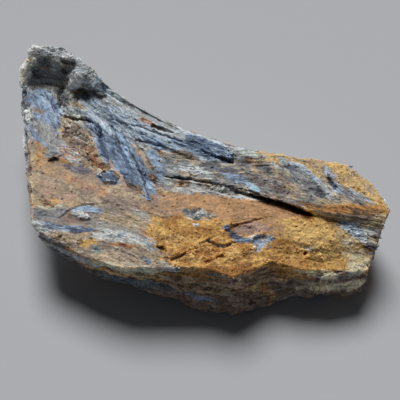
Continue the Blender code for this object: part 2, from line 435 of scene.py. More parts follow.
# What a finish sets, each from none to full, and then the finishes in that order.
# Glint is a painted highlight: light specks mixed into the colour.
traits = (
    "streak", "grain", "pleat", "ledge", "lump", "speckle",
    "glint", "sheen", "plate", "splinter", "crumb", "flake",
)
finishes = {
    "silky": (1.0, 0.2, 0.5, 0.0, 0.15, 0.03, 0.3, 0.8, 0.5, 1.0, 0.0, 0.0),
    "fibrous": (0.8, 0.3, 0.45, 0.1, 0.35, 0.08, 0.25, 0.5, 0.5, 0.5, 0.1, 0.0),
    "dusty": (0.35, 0.22, 0.15, 0.0, 0.3, 0.02, 0.10, 0.1, 0.2, 0.04, 0.25, 0.0),
    "granular": (0.25, 0.42, 0.15, 0.0, 0.5, 0.08, 0.2, 0.05, 0.4, 0.0, 0.6, 0.05),
    "coarse": (0.3, 0.6, 0.6, 0.3, 0.8, 0.12, 0.2, 0.05, 0.6, 0.0, 0.9, 0.1),
    "layered": (0.8, 0.3, 0.2, 0.12, 0.3, 0.08, 0.2, 0.2, 0.3, 0.25, 0.2, 0.05),
    "ledged": (0.9, 0.35, 0.2, 0.4, 0.3, 0.08, 0.15, 0.2, 0.4, 0.1, 0.2, 0.1),
    "crust": (0.15, 0.5, 0.0, 0.0, 0.6, 0.12, 0.2, 0.2, 0.6, 0.05, 0.4, 0.5),
    "smooth": (0.6, 0.25, 0.2, 0.0, 0.25, 0.03, 0.08, 0.5, 0.2, 0.1, 0.05, 0.0),
    "facet": (0.3, 0.15, 0.0, 0.0, 0.15, 0.04, 0.03, 0.3, 0.3, 0.0, 0.04, 0.0),
    "rubble": (0.4, 0.6, 0.3, 0.1, 0.7, 0.15, 0.25, 0.2, 0.8, 0.4, 0.5, 0.6),
    "wall": (0.4, 0.4, 0.15, 0.1, 0.8, 0.1, 0.08, 0.2, 0.6, 0.0, 0.25, 0.3),
}
# Bands of the rind where nothing else is placed: finish, three tints, middle, half width and blur.
rindBands = {
    "ochreRind": ("granular", "honey", "amber", "bronze", 0.61, 0.05, 0.03),
    "blueRind": ("fibrous", "pearl", "pewter", "slateBlue", 0.44, 0.04, 0.02),
    "greyRind": ("layered", "sage", "pewter", "teal", 0.33, 0.05, 0.02),
    "duskRind": ("smooth", "violetGrey", "plum", "midnight", 0.52, 0.015, 0.01),
}
# Zones from broad to fine: finish, light, dark and accent tints, blur and raggedness in mm,
# then points (across, down, reach in mm).
zones = {
    "frontWall": ("wall", "taupe", "cocoa", "mink", 2.0, 2.0, (38, 238, 3), (58, 256, 4), (80, 270, 5),
        (120, 284, 6), (170, 292, 7), (240, 304, 7), (290, 290, 6), (355, 286, 6)),
    "shelf": ("fibrous", "tan", "pewter", "ash", 1.5, 2.5, (165, 160, 4), (215, 172, 6), (260, 180, 6),
        (300, 188, 6), (345, 200, 5)),
    "rightRim": ("granular", "wheat", "sand", "apricot", 1.5, 2.5, (270, 155, 3), (310, 162, 4), (345, 176, 5),
        (375, 200, 5)),
    "splinteredBrown": ("rubble", "sand", "mink", "pearl", 1.5, 2.0, (68, 125, 3), (80, 140, 4.5), (94, 158, 4.5)),
    "leftRust": ("dusty", "tan", "taupe", "apricot", 1.5, 2.5, (42, 172, 5), (70, 180, 8), (105, 194, 8),
        (140, 205, 6)),
    "leftRustEdge": ("dusty", "tan", "taupe", "umber", 1.4, 2.0, (32, 168, 2.0), (33, 188, 2.6), (34, 204, 2.0)),
    "violetWaves": ("smooth", "ash", "taupe", "violetGrey", 1.0, 2.0, (36, 214, 3), (65, 215, 3.5),
        (100, 218, 5), (140, 222, 4.5)),
    "tanLayers": ("layered", "tan", "taupe", "pearl", 1.2, 2.2, (84, 248, 4), (105, 250, 5), (130, 254, 5.5),
        (155, 260, 4)),
    "ochreField": ("granular", "honey", "amber", "ochre", 1.5, 2.5, (160, 232, 6), (195, 240, 11), (245, 250, 9),
        (300, 245, 11), (338, 252, 7)),
    "ochreSlope": ("dusty", "apricot", "clay", "pumpkin", 1.5, 2.5, (158, 205, 4), (200, 205, 5), (250, 212, 5),
        (285, 222, 6)),
    "ochreToe": ("granular", "wheat", "honey", "ochre", 0.8, 1.0, (318, 218, 1.4), (328, 220, 2.2),
        (337, 224, 2.4), (338, 231, 2.2)),
    "slopeShade": ("dusty", "clay", "taupe", "pumpkin", 1.4, 2.2, (150, 206, 2.4), (168, 207, 2.6),
        (182, 204, 1.6)),
    "hornCrust": ("crust", "mist", "ash", "charcoal", 1.0, 1.5, (32, 55, 5), (50, 55, 6), (75, 68, 5),
        (98, 84, 4), (112, 94, 2)),
    "edgeGrey": ("crust", "frost", "pewter", "mink", 0.9, 1.4, (29, 90, 2.6), (29, 104, 2.8), (29, 122, 2.4),
        (29, 138, 1.8)),
    "leftFlank": ("crust", "pearl", "pewter", "charcoal", 1.0, 1.5, (24, 62, 3.5), (21, 88, 4), (20, 115, 4),
        (24, 140, 3), (28, 165, 2.5)),
    "underHornBlue": ("fibrous", "skyBlue", "steelBlue", "violet", 1.0, 2.2, (36, 96, 4), (48, 108, 5),
        (46, 132, 5), (55, 146, 3)),
    "backEdge": ("layered", "mist", "ash", "sage", 1.0, 1.6, (104, 94, 3), (135, 110, 3.5), (165, 126, 3.5),
        (200, 142, 3), (240, 153, 2.5)),
    "blueBand": ("silky", "iceBlue", "steelBlue", "slateBlue", 1.2, 2.2, (116, 116, 3.6), (142, 129, 4.4),
        (168, 141, 3.4), (185, 148, 4), (225, 155, 3)),
    "bandLight": ("silky", "mist", "iceBlue", "skyBlue", 1.0, 1.8, (114, 110, 2.2), (128, 121, 3.0),
        (146, 130, 2.4), (166, 138, 1.4)),
    "stepWall": ("ledged", "straw", "taupe", "mink", 1.0, 1.0, (318, 212, 1.0), (345, 221, 3.2), (380, 228, 5)),
    "stepShade": ("smooth", "taupe", "mink", "umber", 0.6, 0.8, (318, 210, 0.6), (342, 214, 1.0),
        (366, 217, 1.3), (386, 218.5, 1.2)),
    # horn
    "flankCream": ("granular", "ivory", "chalk", "pearl", 0.8, 1.2, (28, 50, 1.5), (26, 62, 2.6), (25, 76, 2.4),
        (26, 84, 1.6)),
    "hornRim": ("crust", "chalk", "mist", "ash", 0.7, 1.4, (31, 48, 1.6), (45, 46, 2.0), (58, 50, 2.0),
        (72, 58, 1.6), (86, 64, 1.6)),
    "hornFace": ("facet", "ash", "charcoal", "taupe", 0.4, 0.5, (38, 57, 1.3), (46, 62, 2.4), (58, 64, 2.4),
        (70, 66, 2.0), (76, 64, 0.8)),
    "hornFaceDeep": ("facet", "ash", "pewter", "violetGrey", 0.4, 0.4, (29, 84.5, 1.0), (36, 80, 2.0),
        (46, 78, 2.8), (56, 78, 2.6), (64, 75, 2.0), (71, 70, 0.8)),
    "hornVein": ("smooth", "tan", "sand", "pewter", 0.4, 0.7, (35, 65, 0.3), (44, 69, 0.5), (52, 72, 0.3)),
    "strut": ("crust", "chalk", "pearl", "charcoal", 0.6, 1.0, (82, 73, 1.8), (77, 82, 2.2), (72, 88, 1.6),
        (68, 90, 1.0)),
    "darkLump": ("crust", "pewter", "soot", "charcoal", 0.6, 1.0, (61, 91, 1.5), (63, 98, 2.0), (61, 106, 1.6)),
    "limb": ("crust", "mist", "ash", "steelBlue", 0.7, 1.2, (82, 66, 2.2), (90, 74, 3.2), (98, 83, 2.4)),
    "limbTip": ("crust", "cyan", "ash", "steelBlue", 0.6, 0.9, (100, 80, 1.4), (106, 88, 1.2)),
    "hollowShade": ("smooth", "plum", "charcoal", "soot", 0.6, 0.3, (79, 91, 1.0), (84, 91.5, 1.8), (93, 93, 1.5)),
    "hollowEdge": ("smooth", "salmon", "ash", "violet", 0.3, 0.5, (28, 87.5, 0.4), (44, 87, 0.5), (58, 85.5, 0.4)),
    # Painted shade under the horn's limb.
    "hollowCoreShade": ("smooth", "charcoal", "soot", "soot", 0.5, 0.4, (84, 91, 0.8), (93, 94, 1.1),
        (101, 96.5, 1.1), (107, 95.5, 0.5)),
    # below the horn
    "violetBlue": ("fibrous", "skyBlue", "steelBlue", "indigo", 0.8, 1.2, (33, 93, 1.6), (45, 95, 2.2),
        (52, 100, 1.6)),
    "violetGleam": ("silky", "iceBlue", "skyBlue", "steelBlue", 0.4, 0.6, (44, 98, 0.5), (50, 108, 0.8),
        (55, 120, 0.5)),
    "indigoHair": ("silky", "slateBlue", "indigo", "midnight", 0.5, 1.2, (43, 92, 0.3), (50, 100, 0.6),
        (55, 110, 0.8), (60, 128, 0.5)),
    "roseFleck": ("fibrous", "rose", "taupe", "plum", 0.5, 0.6, (37, 111, 1.4), (43, 112, 1.0)),
    "blackFleck": ("crust", "pewter", "soot", "soot", 0.4, 0.4, (33, 119, 1.1), (38, 123, 0.9)),
    "greyLobe": ("fibrous", "ash", "violetGrey", "slateBlue", 0.8, 1.2, (38, 124, 2.0), (46, 132, 3.2),
        (54, 142, 2.8), (57, 148, 1.8)),
    "creamPatch": ("fibrous", "sand", "tan", "straw", 0.5, 0.6, (73, 104, 1.0), (80, 106, 1.8), (87, 111, 0.9)),
    "greyStreaks": ("layered", "pearl", "pewter", "slateBlue", 0.6, 1.2, (64, 108, 1.0), (75, 112, 1.6),
        (88, 116, 1.0)),
    "darkStar": ("rubble", "frost", "taupe", "sand", 0.8, 1.6, (70, 128, 1.0), (80, 139, 2.0)),
    "pinkBrown": ("rubble", "pearl", "salmon", "rose", 0.8, 2.0, (62, 150, 2.2), (76, 154, 2.2)),
    "orangeCorner": ("dusty", "clay", "taupe", "mink", 1.2, 2.0, (32, 146, 1.6), (38, 148, 2.0), (40, 156, 2.2)),
    "cornerRim": ("dusty", "tan", "taupe", "rust", 0.8, 0.6, (30, 142, 1.6), (30, 152, 1.8), (30.5, 164, 1.6),
        (31, 178, 1.4)),
    "rustTop": ("dusty", "apricot", "sand", "pumpkin", 1.2, 2.2, (38, 166, 1.6), (50, 168, 2.2), (62, 172, 1.6)),
    "paleBlob": ("fibrous", "ash", "pewter", "steelBlue", 0.6, 1.0, (46, 153, 1.2), (52, 154, 1.2)),
    "blackSpot": ("crust", "mink", "soot", "soot", 0.4, 0.8, (49, 160, 0.7), (56, 159.5, 0.9)),
    "whiteStreak": ("fibrous", "frost", "ash", "salmon", 0.5, 0.9, (64, 158, 0.6), (72, 160, 1.0), (79, 163, 0.5)),
    "orangeCrumble": ("rubble", "tan", "rust", "pumpkin", 0.8, 2.0, (90, 150, 1.4), (98, 162, 1.8), (98, 172, 1.2)),
    "violetLens": ("smooth", "violetGrey", "plum", "mink", 0.7, 1.0, (66, 166, 0.9), (78, 169, 1.7),
        (92, 174, 1.3)),
    "eyeRim": ("silky", "iceBlue", "steelBlue", "slateBlue", 0.6, 0.9, (103, 176, 1.8), (111, 178, 2.6),
        (117, 180, 1.6)),
    "eyeHeart": ("smooth", "slateBlue", "midnight", "plum", 0.5, 0.9, (104, 176, 1.2), (110, 178, 2.0),
        (115, 179, 1.0)),
    # the blue fan
    "blueFan": ("silky", "skyBlue", "slateBlue", "steelBlue", 1.0, 1.5, (92, 103, 2.6), (102, 122, 5.0),
        (114, 148, 5.6), (132, 174, 4.6), (148, 196, 2)),
    "fanCrown": ("silky", "iceBlue", "mist", "skyBlue", 0.8, 1.2, (80, 98, 1.2), (90, 102, 2.8), (98, 112, 3.4),
        (106, 124, 2.6), (112, 134, 1.4)),
    "fanCore": ("silky", "steelBlue", "slateBlue", "indigo", 1.0, 1.6, (106, 140, 2.4), (118, 158, 3.0),
        (128, 172, 2.2)),
    "indigoStreak": ("silky", "slateBlue", "indigo", "midnight", 0.6, 0.9, (99, 130, 0.8), (102, 145, 1.6),
        (106, 156, 0.8)),
    "lightBundle": ("silky", "skyBlue", "slateBlue", "steelBlue", 0.7, 1.2, (112, 112, 1.2), (128, 140, 1.4),
        (142, 166, 1.6), (152, 194, 1.4)),
    "fanShadowLine": ("silky", "slateBlue", "midnight", "indigo", 0.5, 1.2, (124, 137, 0.2), (132, 154, 0.4),
        (142, 176, 0.4), (148, 196, 0.3)),
    "bandCrest": ("silky", "iceBlue", "mist", "skyBlue", 0.7, 0.8, (113, 113, 1.5), (122, 124, 3.2),
        (132, 131, 2.2)),
    "fanThread": ("fibrous", "apricot", "tan", "steelBlue", 0.7, 1.6, (128, 138, 0.3), (138, 152, 0.7),
        (148, 166, 0.5)),
    "eyeThread": ("dusty", "apricot", "sand", "rust", 0.6, 1.2, (108, 160, 0.4), (117, 174, 0.6), (126, 187, 0.5)),
    "fanFoot": ("rubble", "tan", "umber", "slateBlue", 0.7, 1.4, (130, 184, 1.2), (140, 192, 1.6)),
    "deepBand": ("silky", "skyBlue", "steelBlue", "indigo", 0.9, 1.8, (143, 139, 0.8), (152, 141, 1.4),
        (162, 145, 1.2)),
    "deepTail": ("silky", "skyBlue", "steelBlue", "midnight", 0.8, 1.4, (178, 142, 1.2), (192, 148, 2.0),
        (206, 152, 2.0)),
    "bandFringe": ("silky", "iceBlue", "steelBlue", "skyBlue", 0.7, 1.4, (150, 152, 1.6), (160, 164, 1.8),
        (160, 180, 1.2)),
    "brownLens": ("fibrous", "taupe", "umber", "mink", 0.8, 1.2, (174, 153, 1.2), (184, 155, 1.9), (196, 158, 1.1)),
    "speckledGrey": ("fibrous", "pearl", "pewter", "plum", 0.8, 1.8, (170, 168, 1.8), (188, 168, 2.2),
        (208, 174, 1.8)),
    # the back edge
    "edgePale": ("layered", "mist", "ash", "sage", 0.8, 1.2, (118, 101, 1.4), (140, 113, 1.8), (162, 128, 1.6),
        (188, 138, 1.4)),
    "edgeNotch": ("rubble", "salmon", "rust", "oxblood", 0.6, 1.0, (143, 119, 0.9), (151, 123, 1.0)),
    "edgeBlack": ("layered", "pewter", "soot", "soot", 0.4, 0.6, (154, 126.5, 0.6), (164, 130, 0.5)),
    "blueShoulder": ("silky", "steelBlue", "slateBlue", "indigo", 0.7, 1.0, (188, 140, 1.4), (196, 142, 2.4),
        (208, 146, 2.4), (224, 151, 1.4)),
    "blueBump": ("silky", "skyBlue", "slateBlue", "indigo", 0.7, 0.9, (196, 146, 1.2), (210, 151, 2.2),
        (224, 155, 1.8), (230, 158, 1.2)),
    "fringe": ("fibrous", "celadon", "ash", "teal", 0.6, 1.2, (236, 152, 0.9), (248, 155, 1.2), (258, 158, 0.8)),
    # the shelf
    "roseMottle": ("fibrous", "pewter", "plum", "umber", 0.9, 2.0, (206, 167, 2.0), (222, 169, 2.4),
        (238, 173, 1.4)),
    "brownFleck": ("fibrous", "taupe", "umber", "mink", 0.6, 1.0, (246, 159, 0.7), (258, 161, 0.7)),
    "orangeBack": ("fibrous", "straw", "sand", "pumpkin", 0.9, 1.8, (270, 155, 1.2), (288, 156, 1.4),
        (306, 160, 1.4)),
    "bluePatch": ("fibrous", "skyBlue", "slateBlue", "indigo", 0.7, 1.4, (226, 176, 1.2), (238, 179, 1.8),
        (248, 184, 1.2)),
    "cyanSpot": ("silky", "cyan", "skyBlue", "frost", 0.5, 0.9, (249, 184, 0.9), (255, 189, 1.1)),
    "duskSpots": ("fibrous", "pewter", "charcoal", "plum", 0.6, 1.2, (256, 166, 0.9), (268, 170, 1.3)),
    "shelfBrown": ("rubble", "violetGrey", "mink", "pewter", 0.9, 1.8, (254, 178, 1.8), (272, 184, 2.2),
        (284, 190, 1.8)),
    "lensHalo": ("silky", "iceBlue", "ash", "steelBlue", 0.7, 1.4, (284, 162, 1.2), (296, 168, 2.4),
        (308, 180, 3.6), (328, 198, 2.0)),
    "lensOne": ("fibrous", "ash", "midnight", "slateBlue", 0.6, 1.3, (288, 167, 1.2), (297, 173, 2.2),
        (307, 182, 2.7), (317, 190, 2.2), (324, 197, 1.2)),
    "lensHeart": ("fibrous", "violetGrey", "midnight", "plum", 0.5, 1.2, (292, 170, 0.8), (303, 179, 1.4),
        (314, 188, 1.4), (321, 195, 0.8)),
    "lensGap": ("fibrous", "straw", "sand", "pumpkin", 0.8, 1.4, (312, 164, 0.8), (320, 173, 0.9), (327, 182, 0.6)),
    "lensTwoHalo": ("silky", "iceBlue", "violetGrey", "steelBlue", 0.6, 1.2, (325, 168, 0.8), (331, 178, 1.7),
        (338, 192, 1.4)),
    "lensTwo": ("fibrous", "slateBlue", "soot", "midnight", 0.5, 0.9, (328, 178, 0.8), (335, 187, 1.1)),
    "duskStrip": ("silky", "violetGrey", "pewter", "plum", 0.7, 1.0, (342, 188, 1.3), (352, 196, 1.5),
        (362, 202, 1.0)),
    "shelfTan": ("fibrous", "sand", "taupe", "salmon", 0.7, 1.6, (280, 173, 1.2), (286, 182, 1.2), (294, 193, 1.6)),
    "shelfOchre": ("fibrous", "sand", "umber", "pumpkin", 0.6, 1.4, (248, 161, 0.9), (262, 164, 0.9)),
    "lipTan": ("fibrous", "straw", "taupe", "pumpkin", 0.8, 1.6, (318, 200, 0.9), (332, 202.5, 1.1),
        (350, 204, 0.9)),
    "paleStrip": ("silky", "iceBlue", "ash", "skyBlue", 0.4, 0.8, (350, 189, 0.5), (362, 197, 0.7),
        (374, 204, 0.5)),
    "rimWhite": ("crust", "frost", "straw", "sand", 0.5, 1.0, (376, 188, 0.5), (384, 200, 0.8), (389, 210, 0.7)),
    "orangeLip": ("granular", "ochre", "amber", "bronze", 0.8, 1.2, (306, 205, 0.8), (330, 207.5, 1.2),
        (360, 209, 1.5), (386, 209, 1.5)),
    # Dark brown lip edge, with painted shade beneath the lip.
    "lipBrownAndShade": ("fibrous", "amber", "umber", "oxblood", 0.5, 0.8, (298, 202, 0.6), (312, 206, 1.0),
        (330, 210, 1.1), (350, 211, 1.3), (368, 212.5, 1.2), (384, 212, 0.9)),
    # under the crack
    "crackPale": ("fibrous", "frost", "ash", "salmon", 0.7, 1.2, (176, 189, 0.9), (196, 190, 1.2),
        (225, 193, 1.3), (252, 198, 1.0)),
    "crackGreen": ("fibrous", "pewter", "slateBlue", "midnight", 0.5, 1.0, (158, 172, 0.8), (170, 174, 0.9),
        (182, 176, 0.7)),
    "stepPurple": ("granular", "frost", "ash", "violetGrey", 0.6, 0.9, (366, 230, 1.2), (376, 233, 1.6),
        (384, 234, 1.2)),
    "stepDusk": ("fibrous", "taupe", "plum", "soot", 0.5, 0.9, (370, 236, 0.5), (378, 238, 0.8), (384, 237, 0.6)),
    "whitePatch": ("rubble", "mist", "iceBlue", "skyBlue", 0.7, 1.2, (344, 225, 1.4), (352, 230, 2.4),
        (362, 237, 1.6)),
    "whiteStripe": ("rubble", "chalk", "frost", "ash", 0.5, 0.8, (358, 239, 0.7), (366, 242, 0.9), (374, 243, 0.7)),
    # Painted shade under the overhang at the step's end.
    "undercutShade": ("smooth", "umber", "soot", "soot", 0.4, 0.5, (364, 246, 0.2), (370, 247, 0.5), (375, 247.5, 0.4)),
    # Painted shadow inside the narrow crack.
    "crackShadowLine": ("smooth", "soot", "soot", "soot", 0.35, 0.2, (163, 176, 0.3), (180, 178, 0.5),
        (205, 182, 0.45), (240, 190, 0.5), (258, 194.5, 0.8)),
    # Painted shadow inside the narrow slit.
    "slitShadowLine": ("smooth", "soot", "soot", "soot", 0.3, 0.5, (60, 115, 0.15), (68, 118, 0.3), (80, 119, 0.5),
        (87, 120.5, 0.4), (92, 124, 0.15)),
    # ochre ground
    "tanSlope": ("dusty", "apricot", "clay", "pumpkin", 1.0, 2.0, (258, 206, 1.8), (274, 212, 2.8),
        (282, 222, 2.8)),
    "brightOchre": ("granular", "wheat", "wheat", "honey", 1.4, 2.5, (292, 228, 3.4), (316, 236, 4.6),
        (332, 248, 4.6)),
    "deepOchre": ("coarse", "wheat", "amber", "ochre", 1.4, 2.8, (176, 258, 2.6), (202, 254, 3.4),
        (232, 254, 3.4), (252, 256, 2.4)),
    "lowOchre": ("granular", "ochre", "amber", "bronze", 1.2, 2.0, (282, 260, 1.6), (302, 264, 2.0)),
    "olivePatch": ("granular", "wheat", "bronze", "ochre", 1.0, 2.0, (162, 236, 1.6), (176, 240, 1.8)),
    "greyPit": ("rubble", "frost", "pewter", "steelBlue", 0.7, 1.4, (187, 212, 1.8), (198, 214, 2.4),
        (208, 214, 1.6)),
    "whiteFleck": ("rubble", "frost", "pearl", "cream", 0.3, 0.5, (194, 225, 0.6), (197, 225, 0.5)),
    "crescentBlue": ("silky", "steelBlue", "midnight", "violet", 0.5, 0.8, (226, 227, 0.9), (231, 233, 1.5),
        (240, 239, 1.2), (250, 241, 1.0)),
    "crescentRose": ("dusty", "salmon", "rose", "mink", 0.8, 1.6, (240, 229, 1.4), (252, 228, 2.2),
        (262, 227, 1.6)),
    "crescentLine": ("dusty", "russet", "oxblood", "soot", 0.3, 0.8, (236, 226, 0.2), (248, 222, 0.3),
        (263, 218, 0.2)),
    "quartzNest": ("rubble", "frost", "steelBlue", "charcoal", 0.6, 1.2, (254, 239, 1.4), (262, 239, 1.6),
        (257, 248, 1.3), (270, 237, 1.0)),
    "creamEnd": ("dusty", "ivory", "wheat", "ivory", 1.0, 1.6, (346, 250, 1.8), (358, 256, 3.0), (365, 262, 2.2)),
    "creamGround": ("granular", "ivory", "wheat", "honey", 0.8, 1.2, (341, 233, 1.3), (348, 240, 2.2),
        (356, 248, 2.2)),
    "haloPale": ("rubble", "frost", "straw", "iceBlue", 0.5, 1.2, (304, 247, 0.6), (311, 248, 0.7),
        (317, 250, 0.4)),
    "rimCrumble": ("crust", "ivory", "cream", "soot", 0.6, 1.0, (296, 270, 0.6), (314, 273, 1.2),
        (325, 275, 1.7), (334, 278, 1.2)),
    "endCrumble": ("crust", "ivory", "cream", "charcoal", 0.6, 1.0, (350, 267, 1.5), (360, 268, 2.0),
        (368, 265, 1.0)),
    "rimBronze": ("granular", "amber", "bronze", "umber", 0.8, 1.0, (214, 268, 1.6), (232, 272, 2.2),
        (248, 268, 1.8)),
    "redNick": ("granular", "russet", "oxblood", "soot", 0.4, 0.7, (158, 247, 0.5), (164, 248, 0.4)),
    "redCluster": ("granular", "russet", "oxblood", "soot", 0.5, 1.4, (170, 262, 0.7), (178, 257, 0.9),
        (186, 253, 0.6)),
    "darkDashes": ("granular", "bronze", "umber", "oxblood", 0.4, 1.4, (198, 245, 0.2), (208, 240, 0.4),
        (220, 233, 0.2)),
    "darkDashesTwo": ("granular", "slateBlue", "soot", "bronze", 0.4, 1.0, (209, 241, 0.4), (217, 245, 0.8),
        (226, 246, 0.4), (235, 242, 0.3)),
    # left front
    "brightRust": ("dusty", "apricot", "rose", "pumpkin", 1.4, 2.4, (60, 174, 1.4), (78, 181, 2.2),
        (94, 189, 1.8), (106, 196, 1.0)),
    "roseRust": ("dusty", "salmon", "sand", "tan", 1.2, 2.4, (38, 184, 2.4), (52, 192, 3.0), (70, 198, 2.0)),
    "duskFibres": ("fibrous", "rose", "taupe", "mink", 1.0, 1.8, (106, 200, 1.6), (120, 202, 2.6), (134, 206, 2.0)),
    "sageLine": ("layered", "sage", "tan", "pewter", 0.5, 1.0, (33, 207, 0.7), (50, 207, 0.8), (66, 205, 0.5)),
    "duskGrey": ("smooth", "violetGrey", "pewter", "plum", 0.7, 1.2, (36, 215, 1.8), (50, 214, 2.0),
        (62, 213, 1.4)),
    "lensLine": ("smooth", "taupe", "umber", "plum", 0.4, 1.0, (60, 218, 0.2), (68, 211, 0.3), (78, 206, 0.3),
        (104, 203, 0.2)),
    "lensHaloBlue": ("silky", "skyBlue", "steelBlue", "ash", 0.5, 0.9, (74, 210, 0.9), (88, 209, 1.1),
        (100, 211, 0.8)),
    # The lens's pale colour, with a painted highlight at its middle.
    "lensPaleAndHighlight": ("silky", "chalk", "frost", "cyan", 0.4, 0.7, (76, 213, 0.7), (82, 216, 1.2), (88, 218, 0.8)),
    "lensPaintedHighlight": ("silky", "chalk", "chalk", "cyan", 0.3, 0.5, (77, 214, 0.4), (83, 216, 0.7)),
    "lensBrown": ("smooth", "rose", "cocoa", "mink", 0.5, 0.9, (64, 218, 0.7), (72, 221, 1.0), (82, 222, 0.8)),
    "blueStripe": ("silky", "skyBlue", "slateBlue", "indigo", 0.5, 1.2, (46, 224, 0.9), (58, 228, 1.2),
        (74, 229, 1.3), (90, 230, 0.9)),
    "blueStripeDeep": ("silky", "slateBlue", "indigo", "midnight", 0.4, 0.7, (72, 230, 0.6), (80, 231, 0.8),
        (88, 231, 0.6)),
    "rimBrown": ("rubble", "tan", "taupe", "salmon", 0.7, 1.6, (54, 235, 1.3), (66, 238, 1.8), (80, 240, 1.4)),
    "rimWhiteLeft": ("crust", "mist", "ash", "taupe", 0.5, 0.7, (44, 241, 0.8), (56, 249, 1.2), (70, 254, 1.6),
        (82, 260, 1.5), (98, 267, 1.2)),
    "rimSage": ("crust", "cream", "sage", "pewter", 0.6, 0.8, (92, 262, 1.3), (108, 266, 1.7), (128, 270, 2.0),
        (148, 271, 1.8), (160, 270, 1.0)),
    "orangeSpot": ("granular", "wheat", "honey", "pumpkin", 0.6, 1.0, (84, 244, 1.3), (92, 242, 1.3)),
    "tealSpot": ("rubble", "teal", "pewter", "charcoal", 0.5, 0.8, (95, 249, 1.2), (101, 250, 0.9)),
    "tanFlow": ("fibrous", "tan", "sand", "pearl", 0.8, 1.6, (106, 217, 1.8), (125, 219, 2.8), (144, 224, 2.4)),
    "rosePale": ("fibrous", "frost", "ash", "salmon", 0.8, 1.6, (96, 233, 1.6), (112, 236, 2.1), (132, 238, 2.0),
        (148, 240, 1.4)),
    "paleSpots": ("rubble", "iceBlue", "ash", "pearl", 0.4, 0.8, (118, 235, 0.9), (123, 236, 0.7)),
    "redArcs": ("layered", "pumpkin", "russet", "rust", 0.4, 0.7, (110, 245, 0.5), (122, 245, 0.6),
        (134, 247, 0.5)),
    "blueSpots": ("rubble", "skyBlue", "ash", "steelBlue", 0.4, 0.9, (148, 245, 0.9), (154, 249, 0.8)),
    "blueSpotsLow": ("rubble", "skyBlue", "pewter", "ash", 0.4, 0.9, (144, 259, 0.9), (150, 262, 0.8)),
    "leftRimThin": ("crust", "cream", "cocoa", "umber", 0.4, 0.7, (31, 166, 0.5), (30.5, 190, 0.6),
        (31, 215, 0.5), (32, 226, 0.5)),
    # front wall
    "wallShade": ("wall", "sand", "cocoa", "russet", 1.5, 2.0, (170, 282, 3), (205, 286, 3.5), (240, 284, 3.5),
        (268, 274, 3)),
    "wallCharcoal": ("wall", "pewter", "charcoal", "soot", 1.2, 0.8, (50, 251, 1.4), (66, 260.5, 2.6),
        (84, 269, 3.4), (104, 276, 3.8), (126, 281, 4.0), (150, 284, 3.4), (168, 288, 1.8)),
    "wallBlueGrey": ("wall", "pewter", "slateBlue", "midnight", 1.0, 1.4, (116, 279, 1.2), (134, 282, 1.4),
        (150, 284, 1.0)),
    "wallStain": ("wall", "straw", "amber", "umber", 1.0, 1.6, (252, 288, 1.6), (266, 290, 1.8), (272, 300, 1.2)),
    "wallStreaks": ("wall", "steelBlue", "charcoal", "slateBlue", 0.6, 1.4, (182, 293, 0.7), (200, 297, 1.0),
        (216, 301, 0.7)),
    "wallPink": ("wall", "salmon", "cocoa", "umber", 0.6, 1.2, (226, 304, 0.6), (236, 306, 0.9), (242, 311, 0.5)),
    "wallTan": ("wall", "ivory", "cream", "tan", 1.0, 1.6, (316, 287, 2.2), (338, 287, 3.0), (360, 284, 2.8)),
    "wallBlueRight": ("wall", "cream", "taupe", "violetGrey", 0.6, 1.4, (300, 287, 0.8), (326, 291, 0.8),
        (352, 284, 0.8)),
}
